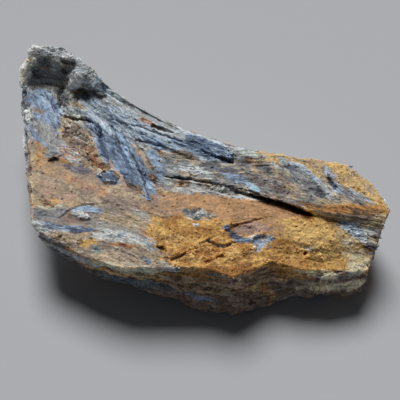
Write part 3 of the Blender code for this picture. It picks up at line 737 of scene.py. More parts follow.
# Cuts and swells: depth in mm (a swell is negative), edge softness in mm, then points (across, down, reach in mm).
cuts = {
    "crackStart": (1.3, 0.5, (164, 176, 0.1), (180, 177.5, 0.3), (205, 182, 0.4), (240, 190, 0.5),
        (256, 193.5, 0.5)),
    "slit": (1.6, 0.4, (60, 115, 0.2), (74, 118.5, 0.4), (86, 120, 0.4), (93, 124, 0.2)),
    "hornDish": (0.7, 1.2, (40, 72, 2.4), (58, 74, 2.4)),
    "hornCorner": (1.3, 1.0, (65, 63, 1.2), (71, 64, 1.2), (70, 69, 1.0), (64, 72, 1.2)),
    "strutSwell": (-0.9, 1.6, (82, 74, 1.2), (77, 83, 1.4), (70, 90, 1.6), (66, 98, 1.4)),
    "limbSwell": (-0.7, 1.8, (86, 70, 1.4), (96, 80, 1.6)),
    "rimSwell": (-1.0, 2.0, (29, 50, 0.8), (34, 47, 0.6)),
    "ringPit": (0.9, 0.4, (112, 93.5, 0.5)),
    "blackPit": (1.3, 0.5, (50, 160, 0.5), (56, 159.5, 0.6)),
    "brownHollow": (0.4, 2.2, (72, 132, 1.4), (88, 146, 1.4)),
    "edgeCrackTwo": (1.1, 0.4, (152, 125, 0.3), (163, 129, 0.5), (172, 132, 0.2)),
    "edgeCrackThree": (0.5, 0.4, (112, 120, 0.2), (135, 126, 0.35), (160, 134, 0.3), (182, 142, 0.2)),
    "backTrim": (1.2, 3.0, (122, 96, 0.5), (135, 104, 1.2), (152, 114, 1.4), (168, 122, 1.0), (180, 128, 0.4)),
    "bumpSwell": (-1.3, 2.2, (206, 149, 1.0), (218, 153, 2.0), (228, 155, 1.0)),
    "bumpCrack": (1.3, 0.35, (203, 151, 0.2), (216, 158, 0.4), (232, 161, 0.4)),
    "bumpCleft": (0.8, 0.3, (228, 149, 0.2), (233, 157, 0.3)),
    "lensOneDish": (0.35, 1.2, (292, 168, 1.0), (306, 180, 2.0), (320, 194, 1.0)),
    "lensTwoDish": (0.7, 0.7, (329, 179, 0.5), (335, 187, 0.6)),
    "greyPitDish": (0.5, 1.2, (188, 212, 1.2), (198, 214, 2.0), (208, 214, 1.0)),
    "crescentDish": (0.7, 1.6, (230, 231, 1.0), (240, 231, 1.4), (250, 231, 1.2)),
    "crescentLip": (0.5, 0.35, (232, 227, 0.1), (246, 222.5, 0.25), (263, 218.5, 0.1)),
    "quartzDish": (0.9, 0.8, (256, 241, 1.0), (262, 239, 1.2), (258, 248, 0.8)),
    "roundPit": (2.4, 0.35, (306, 253, 0.55)),
    "pitHalo": (0.5, 0.8, (308, 250, 1.3)),
    "redCluster": (0.8, 0.6, (171, 261, 0.2), (178, 257, 0.5), (186, 253, 0.2)),
    "redNick": (0.9, 0.3, (158, 247, 0.3), (164, 248, 0.3)),
    "dashOne": (0.5, 0.6, (200, 244, 0.1), (208, 240, 0.3), (216, 236, 0.0)),
    "dashTwo": (1.0, 0.5, (209, 241, 0.2), (217, 245, 0.5), (226, 246, 0.3), (235, 242, 0.2)),
    "dashThree": (0.6, 0.5, (189, 251, 0.1), (196, 248, 0.3)),
    "dashFour": (0.9, 0.4, (206, 262, 0.3), (222, 256, 0.4)),
    "lensSwell": (-0.9, 1.2, (74, 214, 0.8), (84, 216, 1.2)),
    "lensFurrow": (0.45, 0.5, (60, 218, 0.1), (68, 211, 0.2), (78, 206, 0.2), (106, 203, 0.1)),
    "eyeSwell": (-0.5, 1.2, (110, 177, 2.0)),
    "eyeRing": (0.7, 0.4, (99, 177, 0.2), (104, 172, 0.3), (112, 171.5, 0.3), (119, 177, 0.3), (115, 184, 0.3),
        (105, 183, 0.3), (99, 177, 0.2)),
    "fanFurrowOne": (0.5, 0.4, (124, 137, 0.1), (132, 154, 0.2), (142, 176, 0.2), (148, 196, 0.1)),
    "fanFurrowTwo": (0.7, 0.6, (100, 128, 0.2), (101, 146, 0.5), (108, 160, 0.2)),
    "fanFurrowThree": (0.8, 0.5, (112, 126, 0.2), (118, 146, 0.4), (130, 168, 0.3)),
    "fanFurrowFour": (0.6, 0.5, (95, 124, 0.2), (97, 132, 0.3), (99, 140, 0.2)),
    "bandFurrow": (0.8, 0.5, (136, 140, 0.2), (160, 146, 0.4), (190, 158, 0.2)),
    "flankNotchOne": (1.5, 0.6, (18, 92, 0.8), (24, 93, 0.8)),
    "flankNotchTwo": (1.3, 0.6, (20, 123, 0.8), (27, 124, 0.8)),
    "flankSwellOne": (-0.8, 2.2, (21, 66, 1.2), (21, 80, 1.2)),
    "crownSwell": (-1.2, 3.0, (84, 106, 1.5), (92, 116, 1.8), (100, 128, 1.5)),
    "flankSwellTwo": (-0.9, 1.4, (21, 104, 1.2), (23, 112, 1.0)),
    "flankSwellThree": (-0.8, 1.4, (26, 138, 1.4), (28, 150, 1.0)),
}
# Banks fill the foot of a drop: where the bank starts, its slope and its reach in mm,
# then crest points (across, down, drop in mm).
banks = {
    "backSlope": (0.0, 0.42, 9.0, (108, 91.5, 0.05), (130, 103.5, 0.05), (150, 114.5, 0.05), (190, 136.5, 0.05),
        (235, 151.5, 0.05), (270, 155.5, 0.05), (300, 161, 0.05)),
    "crownRise": (0.0, 0.15, 12.0, (92, 98, 0.0), (104, 106, 0.0), (118, 116, 0.0), (130, 124, 0.0),
        (141, 131, 0.1)),
    "limbShelf": (0.0, 0.4, 4.2, (80, 67, 0.1), (90, 72, 0.1), (97, 78, 0.1), (102, 83, 0.1)),
    "crackGround": (2.4, 0.14, 17.0, (238, 186, 0.9), (262, 190, 1.8), (290, 199, 2.5), (316, 206, 2.2)),
    "stepSlope": (0.0, 2.2, 3.5, (322, 209, 0.6), (345, 212, 0.8), (366, 214, 0.8), (387, 215, 0.8)),
    "stepShelf": (0.0, 0.4, 11.0, (318, 207, 2.0), (338, 211, 2.2), (352, 212.5, 2.2), (366, 214, 2.0),
        (387, 215, 2.2)),
    "endRim": (0.0, 0.3, 5.6, (326, 266, 0.2), (345, 262, 0.0), (358, 260, 0.0), (370, 258, 0.0)),
}
bankSettings = {
    "edge": 0.6,  # mm over which a bank begins
    "fade": 0.6,  # share of its reach past which it thins out
    "squarely": 0.6,  # how squarely a point lies in front of the crest
    "deepest": 12.0,  # mm
    "facing": (-0.1, 0.15),  # how a face points where lifting starts and is full
    "soften": 0.4,  # mm of lift that is smoothed in full
    "rounds": 12,
}


def raiseBanks(mesh, surface):
    points, normals = pointsOf(mesh), normalsOf(mesh)
    facing = smoothstep(*bankSettings["facing"], normals[:, 2])
    edge, lifted = bankSettings["edge"], np.zeros(len(points))
    for gap, slope, reach, *marked in banks.values():
        path, drops = laidOut(surface, marked)
        nearest, crest = np.full(len(points), farAway), np.zeros(len(points))
        drop, front = np.zeros(len(points)), np.zeros(len(points))
        for a, b, dropA, dropB in zip(path[:-1], path[1:], drops[:-1], drops[1:]):
            span = (b - a)[:2]
            share = ((points[:, :2] - a[:2]) @ span) / (span @ span)
            inside = np.clip(share, 0.0, 1.0)
            away = points[:, :2] - a[:2] - inside[:, None] * span
            distance = np.hypot(*away.T)
            ahead = (away[:, 0] * span[1] - away[:, 1] * span[0]) / np.linalg.norm(span)
            closer = distance < nearest
            nearest = np.where(closer, distance, nearest)
            crest = np.where(closer, a[2] + (b[2] - a[2]) * inside, crest)
            drop = np.where(closer, dropA + (dropB - dropA) * inside, drop)
            front = np.where(closer, ahead, front)
        wanted = crest - drop - slope * nearest
        fade = smoothstep(gap - edge, gap + edge, nearest)
        fade = fade * smoothstep(reach, reach * bankSettings["fade"], nearest)
        allowed = (front > 0) & (nearest < reach) & (front > bankSettings["squarely"] * nearest)
        allowed &= points[:, 2] > wanted - bankSettings["deepest"]
        lift = np.where(allowed, np.maximum(wanted - points[:, 2], 0.0) * facing * fade, 0.0)
        points[:, 2] += lift
        lifted = np.maximum(lifted, lift)
    loosened = smoothstep(0.0, bankSettings["soften"], lifted)
    movePoints(mesh, relaxed(mesh, points, loosened, bankSettings["rounds"]))


paintSettings = {
    "ground": ("wall", "tan", "umber", "rust"),  # under everything else
    "bandStretch": (7.0, 26.0, 14.0),  # mm across, along and down
    "bandSeed": 21,
    "warpPitch": 3.0,  # mm
    "warp": 1.4,
    "fingerStretch": (0.8, 4.0, 2.5),
    "fingerSeed": 30,  # past the coat's own seed
    "fingers": 3.4,
    "palest": 0.92,  # no paint gives back more light than this
}
coatSettings = {
    "main": {"names": ("lightTint", "darkTint", "accentTint"), "seed": 11, "ragged": 1.0},
    "stray": {"names": ("strayLight", "strayDark", "strayAccent"), "seed": 61, "ragged": 2.0},
}


def coatValues(finish, names):
    return [linear(tints[name], cardGain) for name in names] + [np.array(finishes[finish])]


# Two coats of the same zones, raggeder in the second, so that their edges mix as fine strands.
def paintStone(mesh, surface, flow):
    points, normals = pointsOf(mesh), normalsOf(mesh)
    across = flow.at(flow.across, points) + flowSettings["layerRise"] * points[:, 2]
    along = flow.at(flow.along, points)
    flowing = np.stack((across, along, points[:, 2]), axis=1)
    level = np.zeros(len(points))
    heading = np.stack((flow.at(flow.headX, points), flow.at(flow.headY, points), level), axis=1)
    bandNoise = softNoise(flowing / paintSettings["bandStretch"], 1.0, paintSettings["bandSeed"], layers=4)
    laid = []
    for finish, light, dark, accent, blur, ragged, *marked in zones.values():
        laid.append((finish, (light, dark, accent), blur, ragged, *laidOut(surface, marked)))
    for coat in coatSettings.values():
        warp = shakeOf(points, paintSettings["warpPitch"], coat["seed"], layers=4) * paintSettings["warp"]
        seed = coat["seed"] + paintSettings["fingerSeed"]
        fingers = softNoise(flowing / paintSettings["fingerStretch"], 1.0, seed, layers=3)[:, None] - noiseMiddle
        warp = (warp + heading * fingers * paintSettings["fingers"]) * coat["ragged"]
        finish, *names = paintSettings["ground"]
        layers = [np.tile(value, (len(points), 1)) for value in coatValues(finish, names)]

        def blend(share, finish, names):
            for layer, value in zip(layers, coatValues(finish, names)):
                layer += share[:, None] * (value - layer)

        for finish, *names, middle, half, blur in rindBands.values():
            blend(smoothstep(half + blur, half - blur, abs(bandNoise - middle)), finish, names)
        for finish, names, blur, ragged, path, reaches in laid:
            away = reachOf(points + warp * ragged, path, reaches)
            blend(smoothstep(blur / 2, -blur / 2, away), finish, names)
        *tinted, marks = layers
        for name, layer in zip(coat["names"], tinted):
            layer = layer * np.minimum(paintSettings["palest"] / layer.max(axis=1), 1.0)[:, None]
            setAttribute(mesh, name, np.c_[layer, np.ones(len(points))], "FLOAT_COLOR")
        if coat is coatSettings["main"]:
            for trait, values in zip(traits, marks.T):
                setAttribute(mesh, trait, values)
    setAttribute(mesh, "across", across)
    setAttribute(mesh, "along", along)
    heading -= normals * (heading * normals).sum(axis=1)[:, None]
    heading /= np.linalg.norm(heading, axis=1)[:, None] + tiny
    setAttribute(mesh, "fibre", heading, "FLOAT_VECTOR")


carveSettings = {
    "shakePitch": 1.6,  # mm
    "shakeSeed": 31,
    "shake": 0.8,
    "foot": 0.3,  # how far a cut's soft edge reaches into it
    "bare": (0.7, 0.3),  # mm of depth where nothing loose lies, and where it all does
    "loose": ("splinter", "crumb", "flake"),
}


def carveStone(mesh, surface):
    points, normals = pointsOf(mesh), normalsOf(mesh)
    shake = shakeOf(points, carveSettings["shakePitch"], carveSettings["shakeSeed"], layers=2)
    shake = shake * carveSettings["shake"]
    sink = np.zeros(len(points))
    for depth, soft, *marked in cuts.values():
        away = reachOf(points + shake, *laidOut(surface, marked))
        sink += depth * smoothstep(soft, -soft * carveSettings["foot"], away)
    movePoints(mesh, points - normals * sink[:, None])
    for trait in carveSettings["loose"]:
        setAttribute(mesh, trait, attributeOf(mesh, trait) * smoothstep(*carveSettings["bare"], sink))


def levelBed(mesh):
    points = pointsOf(mesh)
    points[:, 2] = np.maximum(points[:, 2], 0.0)
    movePoints(mesh, points)


def neighbourMean(mesh):
    ends = np.empty(len(mesh.edges) * 2, np.int64)
    mesh.edges.foreach_get("vertices", ends)
    a, b = ends.reshape(-1, 2).T
    count = len(mesh.vertices)
    degree = np.maximum(np.bincount(a, minlength=count) + np.bincount(b, minlength=count), 1)

    def mean(values):
        sums = [np.bincount(a, column[b], count) + np.bincount(b, column[a], count) for column in values.T]
        return np.stack(sums, axis=1) / degree[:, None]

    return mean


relaxPull = 0.5  # how far a point goes towards the mean of its neighbours in a round


def relaxed(mesh, points, share, rounds):
    mean = neighbourMean(mesh)
    for _ in range(rounds):
        points = points + relaxPull * share[:, None] * (mean(points) - points)
    return points


# Painted shade: hollows are measured over these rounds of smoothing; the colour is darkened in them and lightened on
# ridges.
hollowShadeRounds = {
    "cavityShade": 2,  # fine hollows
    "dipShade": 24,  # broad ones
}


def cavityOf(mesh, rounds):
    points, normals = pointsOf(mesh), normalsOf(mesh)
    smooth = relaxed(mesh, points, np.ones(len(points)), rounds)
    return ((smooth - points) * normals).sum(axis=1)


halves = (noiseMiddle, noiseMiddle, noiseMiddle)


class NodeKit:
    def __init__(self, tree):
        self.tree = tree

    def node(self, kind, settings=None, **sockets):
        made = self.tree.nodes.new(kind)
        for key, value in (settings or {}).items():
            setattr(made, key, value)
        for key, value in sockets.items():
            self.put(made.inputs[key.replace("_", " ")], value)
        return made

    def put(self, socket, value):
        if isinstance(value, bpy.types.NodeSocket):
            self.tree.links.new(value, socket)
        else:
            socket.default_value = value

    # Fills a node's sockets in turn and gives back one of its outputs.
    def fill(self, made, values, sockets=None, output=0):
        for socket, value in zip(sockets or made.inputs, values):
            self.put(socket, value)
        return made.outputs[output]

    def maths(self, operation, *values):
        return self.fill(self.node("ShaderNodeMath", {"operation": operation}), values)

    def plus(self, *values):
        return self.maths("ADD", *values)

    def minus(self, *values):
        return self.maths("SUBTRACT", *values)

    def times(self, *values):
        return self.maths("MULTIPLY", *values)

    def over(self, *values):
        return self.maths("DIVIDE", *values)

    # From low to high as the share goes from 0 to 1.
    def between(self, share, low, high):
        return self.plus(self.times(share, self.minus(high, low)), low)

    def vector(self, operation, *values):
        made = self.node("ShaderNodeVectorMath", {"operation": operation})
        sockets = (made.inputs[0], made.inputs["Scale"]) if operation == "SCALE" else None
        return self.fill(made, values, sockets, "Value" if operation == "DOT_PRODUCT" else 0)

    def heightOf(self, place):
        return self.node("ShaderNodeSeparateXYZ", None, Vector=place).outputs["Z"]

    # A pattern is its scale, detail and roughness, and a shift where it may not lie over another.
    # A scale of three numbers runs across, along and down.
    def noise(self, place, pattern, output=0):
        scale, detail, roughness, *shift = pattern
        if shift:
            place = self.vector("ADD", place, *shift)
        if isinstance(scale, tuple):
            place, scale = self.vector("MULTIPLY", place, scale), 1.0
        sockets = {"Vector": place, "Scale": scale, "Detail": detail, "Roughness": roughness}
        return self.node("ShaderNodeTexNoise", None, **sockets).outputs[output]

    def cells(self, vector, scale=1.0):
        return self.node("ShaderNodeTexVoronoi", {"feature": "F1"}, Vector=vector, Scale=scale).outputs

    def remap(self, value, low, high, least=0.0, most=1.0):
        made = self.node("ShaderNodeMapRange", {"interpolation_type": "SMOOTHSTEP"})
        labels = ("Value", "From Min", "From Max", "To Min", "To Max")
        return self.fill(made, (value, low, high, least, most), [made.inputs[label] for label in labels])

    def combine(self, x, y, z):
        return self.node("ShaderNodeCombineXYZ", None, X=x, Y=y, Z=z).outputs[0]

    def named(self, name, kind="FLOAT"):
        return self.node("GeometryNodeInputNamedAttribute", {"data_type": kind}, Name=name).outputs["Attribute"]

    def store(self, geometry, name, value):
        settings = {"data_type": "FLOAT", "domain": "POINT"}
        sockets = {"Geometry": geometry, "Name": name, "Value": value}
        return self.node("GeometryNodeStoreNamedAttribute", settings, **sockets).outputs[0]

    # Every tree ends here.
    def finish(self, geometry, output):
        realised = self.node("GeometryNodeRealizeInstances", None, Geometry=geometry)
        coated = self.node("GeometryNodeSetMaterial", None, Geometry=realised.outputs[0], Material=stoneMaterial)
        self.put(output.inputs[0], coated.outputs[0])
        return self.tree


def newNodeTree(name, sizes):
    tree = bpy.data.node_groups.new(name, "GeometryNodeTree")
    tree.interface.new_socket("Geometry", in_out="INPUT", socket_type="NodeSocketGeometry")
    for label in sizes:
        tree.interface.new_socket(label, in_out="INPUT", socket_type="NodeSocketFloat")
    tree.interface.new_socket("Geometry", in_out="OUTPUT", socket_type="NodeSocketGeometry")
    kit = NodeKit(tree)
    inputs = tree.nodes.new("NodeGroupInput")
    return kit, {socket.name: socket for socket in inputs.outputs}, tree.nodes.new("NodeGroupOutput")


def runNodes(thing, tree, sizes):
    modifier = thing.modifiers.new(tree.name, "NODES")
    modifier.node_group = tree
    for item in tree.interface.items_tree:
        if item.in_out == "INPUT" and item.name in sizes:
            modifier[item.identifier] = float(sizes[item.name])
    applyModifiers(thing)


reliefSettings = {  # heights and pitches in mm
    "Fibre Height": 0.75,
    "Fibre Pitch": 0.85,
    "Pleat Height": 1.7,
    "Pleat Pitch": 3.0,
    "Grain Height": 1.2,
    "Grain Pitch": 1.05,
    "Lump Height": 3.2,
    "Lump Pitch": 4.0,
    "Ledge Height": 0.75,
    "Ledge Pitch": 2.4,
    "Plate Height": 0.42,
    "Plate Pitch": 3.0,
    "Chip Height": 0.22,
    "Chip Pitch": 1.3,
}
reliefShape = {
    "fibreStretch": (9.0, 6.0),  # pitch along and down, as against across
    "pleatStretch": (6.0, 4.0),
    "plateStretch": (3.0, 1.6),
    "ruffle": 0.9,  # how far the strands stray from straight
    "wander": 2.2,  # how far a ledge strays, in ledges
    "ledgeFall": (0.82, 1.0, 1.0, 0.0),  # where a ledge drops back
    "ledgeBreak": (0.35, 0.6, 0.25, 1.0),  # where ledges are weak and strong
    "ledgeMiddle": 0.45,
    "plateTilt": 1.6,
    "plateStep": 0.7,
}
reliefPatterns = {  # scale, detail and roughness
    "ruffle": (0.7, 3.0, 0.6),
    "fibre": (1.0, 2.0, 0.6),
    "pleat": (1.0, 1.0, 0.5),
    "grain": (1.0, 3.0, 0.65),
    "lump": (1.0, 2.0, 0.5),
    "wander": (0.16, 2.0, 0.5),
    "break": (0.22, 1.0, 0.5),
}


def buildReliefTree():
    kit, given, output = newNodeTree("weatheredRelief", reliefSettings)
    form, patterns = reliefShape, reliefPatterns
    place = kit.vector("SCALE", kit.node("GeometryNodeInputPosition").outputs[0], perMetre)
    across, along, height = kit.named("across"), kit.named("along"), kit.heightOf(place)
    shake = kit.noise(place, patterns["ruffle"], "Color")
    ruffle = kit.vector("SCALE", kit.vector("SUBTRACT", shake, halves), form["ruffle"])

    def stretched(pitch, ratio, deep):
        x, y = kit.over(across, pitch), kit.over(along, kit.times(pitch, ratio))
        straight = kit.combine(x, y, kit.over(height, kit.times(pitch, deep)))
        return kit.vector("ADD", straight, ruffle)

    def even(pitch):
        return kit.vector("DIVIDE", place, kit.combine(pitch, pitch, pitch))

    def part(value, middle, size, trait):
        return kit.times(kit.times(kit.minus(value, middle), given[size + " Height"]), kit.named(trait))

    # Flat plates, each tipped and stepped its own way.
    def plates(pitch):
        spot = stretched(pitch, *form["plateStretch"])
        cells = kit.cells(spot)
        tilt = kit.vector("SUBTRACT", cells["Color"], halves)
        slope = kit.vector("DOT_PRODUCT", kit.vector("SUBTRACT", spot, cells["Position"]), tilt)
        step = kit.node("ShaderNodeSeparateXYZ", None, Vector=tilt).outputs["X"]
        return kit.plus(kit.times(slope, form["plateTilt"]), kit.times(step, form["plateStep"])), step

    fibre = kit.noise(stretched(given["Fibre Pitch"], *form["fibreStretch"]), patterns["fibre"])
    pleat = kit.noise(stretched(given["Pleat Pitch"], *form["pleatStretch"]), patterns["pleat"])
    grain = kit.noise(even(given["Grain Pitch"]), patterns["grain"])
    lump = kit.noise(even(given["Lump Pitch"]), patterns["lump"])
    wander = kit.noise(place, patterns["wander"])
    layer = kit.plus(kit.over(across, given["Ledge Pitch"]), kit.times(wander, form["wander"]))
    rise = kit.maths("FRACT", layer)
    ledge = kit.times(rise, kit.remap(rise, *form["ledgeFall"]))
    broken = kit.remap(kit.noise(place, patterns["break"]), *form["ledgeBreak"])
    plate, plateTone = plates(given["Plate Pitch"])
    chip, chipTone = plates(given["Chip Pitch"])
    total = part(fibre, noiseMiddle, "Fibre", "streak")
    for piece in (
        part(pleat, noiseMiddle, "Pleat", "pleat"),
        part(grain, noiseMiddle, "Grain", "grain"),
        part(lump, noiseMiddle, "Lump", "lump"),
        part(plate, 0.0, "Plate", "plate"),
        part(chip, 0.0, "Chip", "plate"),
        kit.times(broken, part(ledge, form["ledgeMiddle"], "Ledge", "ledge")),
    ):
        total = kit.plus(total, piece)
    lift = kit.vector("SCALE", kit.node("GeometryNodeInputNormal").outputs[0], kit.times(total, mm))
    result = kit.node("GeometryNodeSetPosition", None, Geometry=given["Geometry"], Offset=lift).outputs[0]
    for name, value in (("plateTone", plateTone), ("chipTone", chipTone)):
        result = kit.store(result, name, value)
    return kit.finish(result, output)


materialSettings = {
    "contrast": (0.385, 0.615),  # between the dark tint and the light one
    "stray": (0.47, 0.53),
    "accent": (0.56, 0.66),
    "patch": 0.7,
    "plate": 0.16,
    "cellScale": 2.3,
    "cell": 0.75,
    "cellGrain": (0.8, 0.1),
    "cavityShade": (-0.08, 0.08, 1.16, 0.74),  # hollow in mm, then painted shade: darker in hollows, lighter on ridges
    "dipShade": (-0.35, 0.35, 1.12, 0.78),
    "spot": (0.56, 0.62),
    "spotColour": (0.012, 0.012, 0.013, 1.0),
    # Painted highlights: light specks mixed into the colour.
    "glint": (0.58, 0.64),
    "glintShare": 0.8,
    "paintedGlintColour": (0.75, 0.78, 0.80, 1.0),
    "roughness": 0.82,
    "silkRoughness": 0.42,
    "roughMottle": 0.3,
    "specular": 0.45,
    "gritGrain": (0.8, 0.2),
    "bump": 0.8,
    "bumpReach": 0.3,  # mm
}
materialPatterns = {  # scale, detail, roughness and shift
    "fibre": ((1.5, 0.13, 0.16), 3.0, 0.6),
    "hair": ((4.2, 0.55, 0.8), 2.0, 0.6),
    "vein": ((1.1, 0.14, 0.16), 4.0, 0.62, (31.0, 17.0, 5.0)),
    "stray": ((1.7, 0.3, 0.4), 3.0, 0.6, (5.0, 43.0, 19.0)),
    "coarse": (1.5, 5.0, 0.68),
    "patch": (0.22, 3.0, 0.55),
    "drift": (0.9, 4.0, 0.65, (13.0, 7.0, 29.0)),
    "blot": (0.7, 5.0, 0.68, (9.0, 4.0, 2.0)),
    "spot": (1.1, 3.0, 0.7),
    "glint": (2.9, 2.0, 0.7),
    "grit": (3.2, 2.0, 0.6),
}


def buildStoneMaterial():
    material = bpy.data.materials.new("fibrousStone")
    material.use_nodes = True
    kit = NodeKit(material.node_tree)
    shader = material.node_tree.nodes["Principled BSDF"]
    look = materialSettings

    def painted(name, output="Fac"):
        settings = {"attribute_type": "GEOMETRY", "attribute_name": name}
        return kit.node("ShaderNodeAttribute", settings).outputs[output]

    def mix(share, a, b):
        made = kit.node("ShaderNodeMix", {"data_type": "RGBA"})
        return kit.fill(made, (share, a, b), [made.inputs[index] for index in (0, 6, 7)], 2)  # its colour sockets

    place = kit.vector("SCALE", kit.node("ShaderNodeTexCoord").outputs["Object"], perMetre)
    flow = kit.combine(painted("across"), painted("along"), kit.heightOf(place))
    streak, grain = painted("streak"), painted("grain")

    def twoCoats(share, name):
        return mix(share, painted(name + "Tint", "Color"), painted("stray" + name.capitalize(), "Color"))

    def patterned(spot, *names):
        return [kit.noise(spot, materialPatterns[name]) for name in names]

    fibre, hair, vein, loose = patterned(flow, "fibre", "hair", "vein", "stray")
    coarse, patch, drift, blot = patterned(place, "coarse", "patch", "drift", "blot")
    spots, paintedGlints, grit = patterned(place, "spot", "glint", "grit")
    # Strands where the finish is streaky, and a mottle where it is not.
    body = kit.between(streak, coarse, kit.plus(kit.times(fibre, 0.5), kit.times(hair, 0.5)))
    body = kit.plus(body, kit.times(kit.minus(patch, noiseMiddle), look["patch"]))
    tones = [kit.times(painted(name), look["plate"]) for name in ("plateTone", "chipTone")]
    body = kit.plus(body, kit.times(kit.plus(*tones), painted("plate")))
    stray = kit.remap(kit.between(streak, drift, loose), *look["stray"])
    colour = mix(kit.remap(body, *look["contrast"]), twoCoats(stray, "dark"), twoCoats(stray, "light"))
    accented = kit.remap(kit.between(streak, blot, vein), *look["accent"])
    colour = mix(accented, colour, twoCoats(stray, "accent"))

    cells = kit.cells(place, look["cellScale"])
    cellTone = kit.node("ShaderNodeSeparateColor", None, Color=cells["Color"]).outputs[0]
    grainy = kit.maths("MULTIPLY_ADD", grain, *look["cellGrain"])
    cellShade = kit.maths("MULTIPLY_ADD", kit.times(kit.minus(cellTone, noiseMiddle), grainy), look["cell"], 1.0)
    # Painted shade: the colour is darkened in hollows and lightened on ridges.
    paintedHollowShade = kit.times(*[kit.remap(painted(name), *look[name]) for name in ("cavityShade", "dipShade")])
    toneAndPaintedShade = kit.times(kit.times(cellShade, paintedHollowShade), kit.plus(painted("tone"), 1.0))
    colour = kit.vector("SCALE", colour, toneAndPaintedShade)
    spots = kit.times(kit.remap(spots, *look["spot"]), painted("speckle"))
    colour = mix(spots, colour, look["spotColour"])
    # Painted highlights: light specks where the finish has glint.
    paintedGlints = kit.times(kit.remap(paintedGlints, *look["glint"]), painted("glint"))
    colour = mix(kit.times(paintedGlints, look["glintShare"]), colour, look["paintedGlintColour"])
    kit.put(shader.inputs["Base Color"], colour)

    silk = look["silkRoughness"] - look["roughness"]
    rough = kit.maths("MULTIPLY_ADD", painted("sheen"), silk, look["roughness"])
    rough = kit.plus(rough, kit.times(kit.minus(coarse, noiseMiddle), look["roughMottle"]))
    kit.put(shader.inputs["Roughness"], rough)
    shader.inputs["Specular IOR Level"].default_value = look["specular"]
    gritty = kit.times(kit.maths("MULTIPLY_ADD", grain, *look["gritGrain"]), kit.plus(coarse, grit))
    bumps = kit.plus(kit.times(hair, streak), gritty)
    bump = kit.node("ShaderNodeBump", None, Strength=look["bump"], Distance=look["bumpReach"] * mm, Height=bumps)
    kit.put(shader.inputs["Normal"], bump.outputs[0])
    return material


splinterSettings = {
    "Density": 2.4,  # per square mm
    "Length": 2.1,  # mm
    "Width": 0.5,
    "Thickness": 0.24,
    "Spread": 0.4,  # how much the sizes differ
    "Tilt": 6.0,  # degrees
    "Sink": 0.35,  # share of the thickness
    "Tone": 0.22,  # how much lighter or darker one may be
}
gritSettings = {
    "Density": 1.55,
    "Length": 0.62,
    "Width": 0.56,
    "Thickness": 0.5,
    "Spread": 0.45,
    "Tilt": 180.0,
    "Sink": 0.15,
    "Tone": 0.30,
}
flakeSettings = {
    "Density": 0.8,
    "Length": 1.3,
    "Width": 0.9,
    "Thickness": 0.4,
    "Spread": 0.5,
    "Tilt": 28.0,
    "Sink": 0.2,
    "Tone": 0.3,
}
scatterShape = {
    "radius": 0.5,
    "sides": 4,  # of a pointed blade
    "rings": 3,
    "fewPower": 3.0,  # most are small and few are large
    "growth": 1.1,
    "least": 0.6,
    "perSquareMetre": 1e6,
}


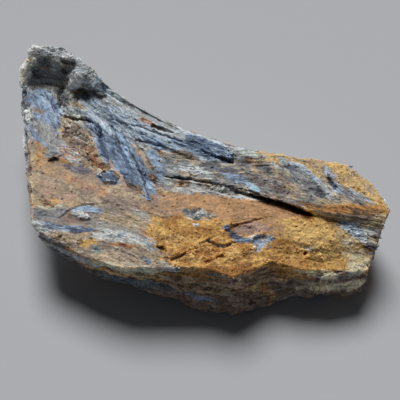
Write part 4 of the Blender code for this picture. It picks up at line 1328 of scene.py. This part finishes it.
def buildScatterTree(name, sizes, trait, seed, pointed):
    kit, given, output = newNodeTree(name, sizes)
    form = scatterShape
    draws = iter(range(seed + 1, seed + 9))  # a seed for each draw, in turn

    def chance(low, high):
        made = kit.node("FunctionNodeRandomValue", {"data_type": "FLOAT"}, Seed=next(draws))
        return kit.fill(made, (low, high), made.inputs[2:4], 1)  # its number sockets

    share = kit.times(kit.named(trait), kit.times(given["Density"], form["perSquareMetre"]))
    spread = kit.node(
        "GeometryNodeDistributePointsOnFaces",
        {"distribute_method": "RANDOM"},
        Mesh=given["Geometry"],
        Density=share,
        Seed=seed,
    )
    normal = spread.outputs["Normal"]
    sunk = kit.vector("SCALE", normal, kit.times(kit.times(given["Thickness"], given["Sink"]), -mm))
    sunk = kit.node("GeometryNodeSetPosition", None, Geometry=spread.outputs["Points"], Offset=sunk)
    toned = kit.store(sunk.outputs[0], "tone", chance(kit.times(given["Tone"], -1.0), given["Tone"]))
    axes = kit.node("FunctionNodeAxesToRotation", {"primary_axis": "X", "secondary_axis": "Z"})
    lying = kit.fill(axes, (normal, kit.named("fibre", "FLOAT_VECTOR")))
    turn = kit.maths("RADIANS", given["Tilt"])
    back = kit.times(turn, -1.0)
    tipped = kit.combine(*[chance(back, turn) for axis in range(3)])
    tipped = kit.node("FunctionNodeEulerToRotation", None, Euler=tipped).outputs[0]
    turned = kit.fill(kit.node("FunctionNodeRotateRotation", {"rotation_space": "LOCAL"}), (lying, tipped))
    least, most = kit.minus(1.0, given["Spread"]), kit.plus(1.0, given["Spread"])
    sides = [kit.times(given[side], chance(least, most)) for side in ("Thickness", "Width", "Length")]
    few = kit.maths("POWER", chance(0.0, 1.0), form["fewPower"])
    few = kit.maths("MULTIPLY_ADD", few, form["growth"], form["least"])
    size = kit.vector("SCALE", kit.combine(*sides), kit.times(few, mm))
    if pointed:
        solid = {"Segments": form["sides"], "Rings": form["rings"], "Radius": form["radius"]}
        shape = kit.node("GeometryNodeMeshUVSphere", None, **solid)
    else:
        shape = kit.node("GeometryNodeMeshIcoSphere", None, Subdivisions=1, Radius=form["radius"])
    flat = kit.node("GeometryNodeSetShadeSmooth", None, Geometry=shape.outputs[0], Shade_Smooth=False).outputs[0]
    placed = kit.node("GeometryNodeInstanceOnPoints", None, Points=toned, Instance=flat, Rotation=turned, Scale=size)
    return kit.finish(placed.outputs[0], output)


def scatterPiece(name, sizes, trait, seed, pointed):
    piece = newObject(name, stone.data.copy())
    runNodes(piece, buildScatterTree(name + "Nodes", sizes, trait, seed, pointed), sizes)
    levelBed(piece.data)
    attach(piece, stoneBody)
    print(name, len(piece.data.polygons))


buildCamera()
buildLight()
buildFloor()
print("bench ready")
stoneMaterial = buildStoneMaterial()
stone = skinOf(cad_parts[stoneNode])
print("skin", len(stone.data.vertices), len(stone.data.polygons))
raiseBanks(stone.data, surfaceOf(stone.data))
surface = surfaceOf(stone.data)
low, high = pointsOf(stone.data).min(axis=0), pointsOf(stone.data).max(axis=0)
margin = flowSettings["margin"]
flow = FlowMap(surface, low[:2] - margin, (high - low)[:2] + 2 * margin)
print("grain mapped")
paintStone(stone.data, surface, flow)
print("painted")
carveStone(stone.data, surface)
runNodes(stone, buildReliefTree(), reliefSettings)
levelBed(stone.data)
# The hollows that the painted shade darkens.
for name, rounds in hollowShadeRounds.items():
    setAttribute(stone.data, name, cavityOf(stone.data, rounds))
setAttribute(stone.data, "tone", np.zeros(len(stone.data.vertices)))
print("relief", len(stone.data.polygons))
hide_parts(stoneNode)
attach(stone, stoneBody)
scatterPiece("looseSplinters", splinterSettings, trait="splinter", seed=3, pointed=True)
scatterPiece("clingingGrit", gritSettings, trait="crumb", seed=23, pointed=False)
scatterPiece("crustFlakes", flakeSettings, trait="flake", seed=43, pointed=False)
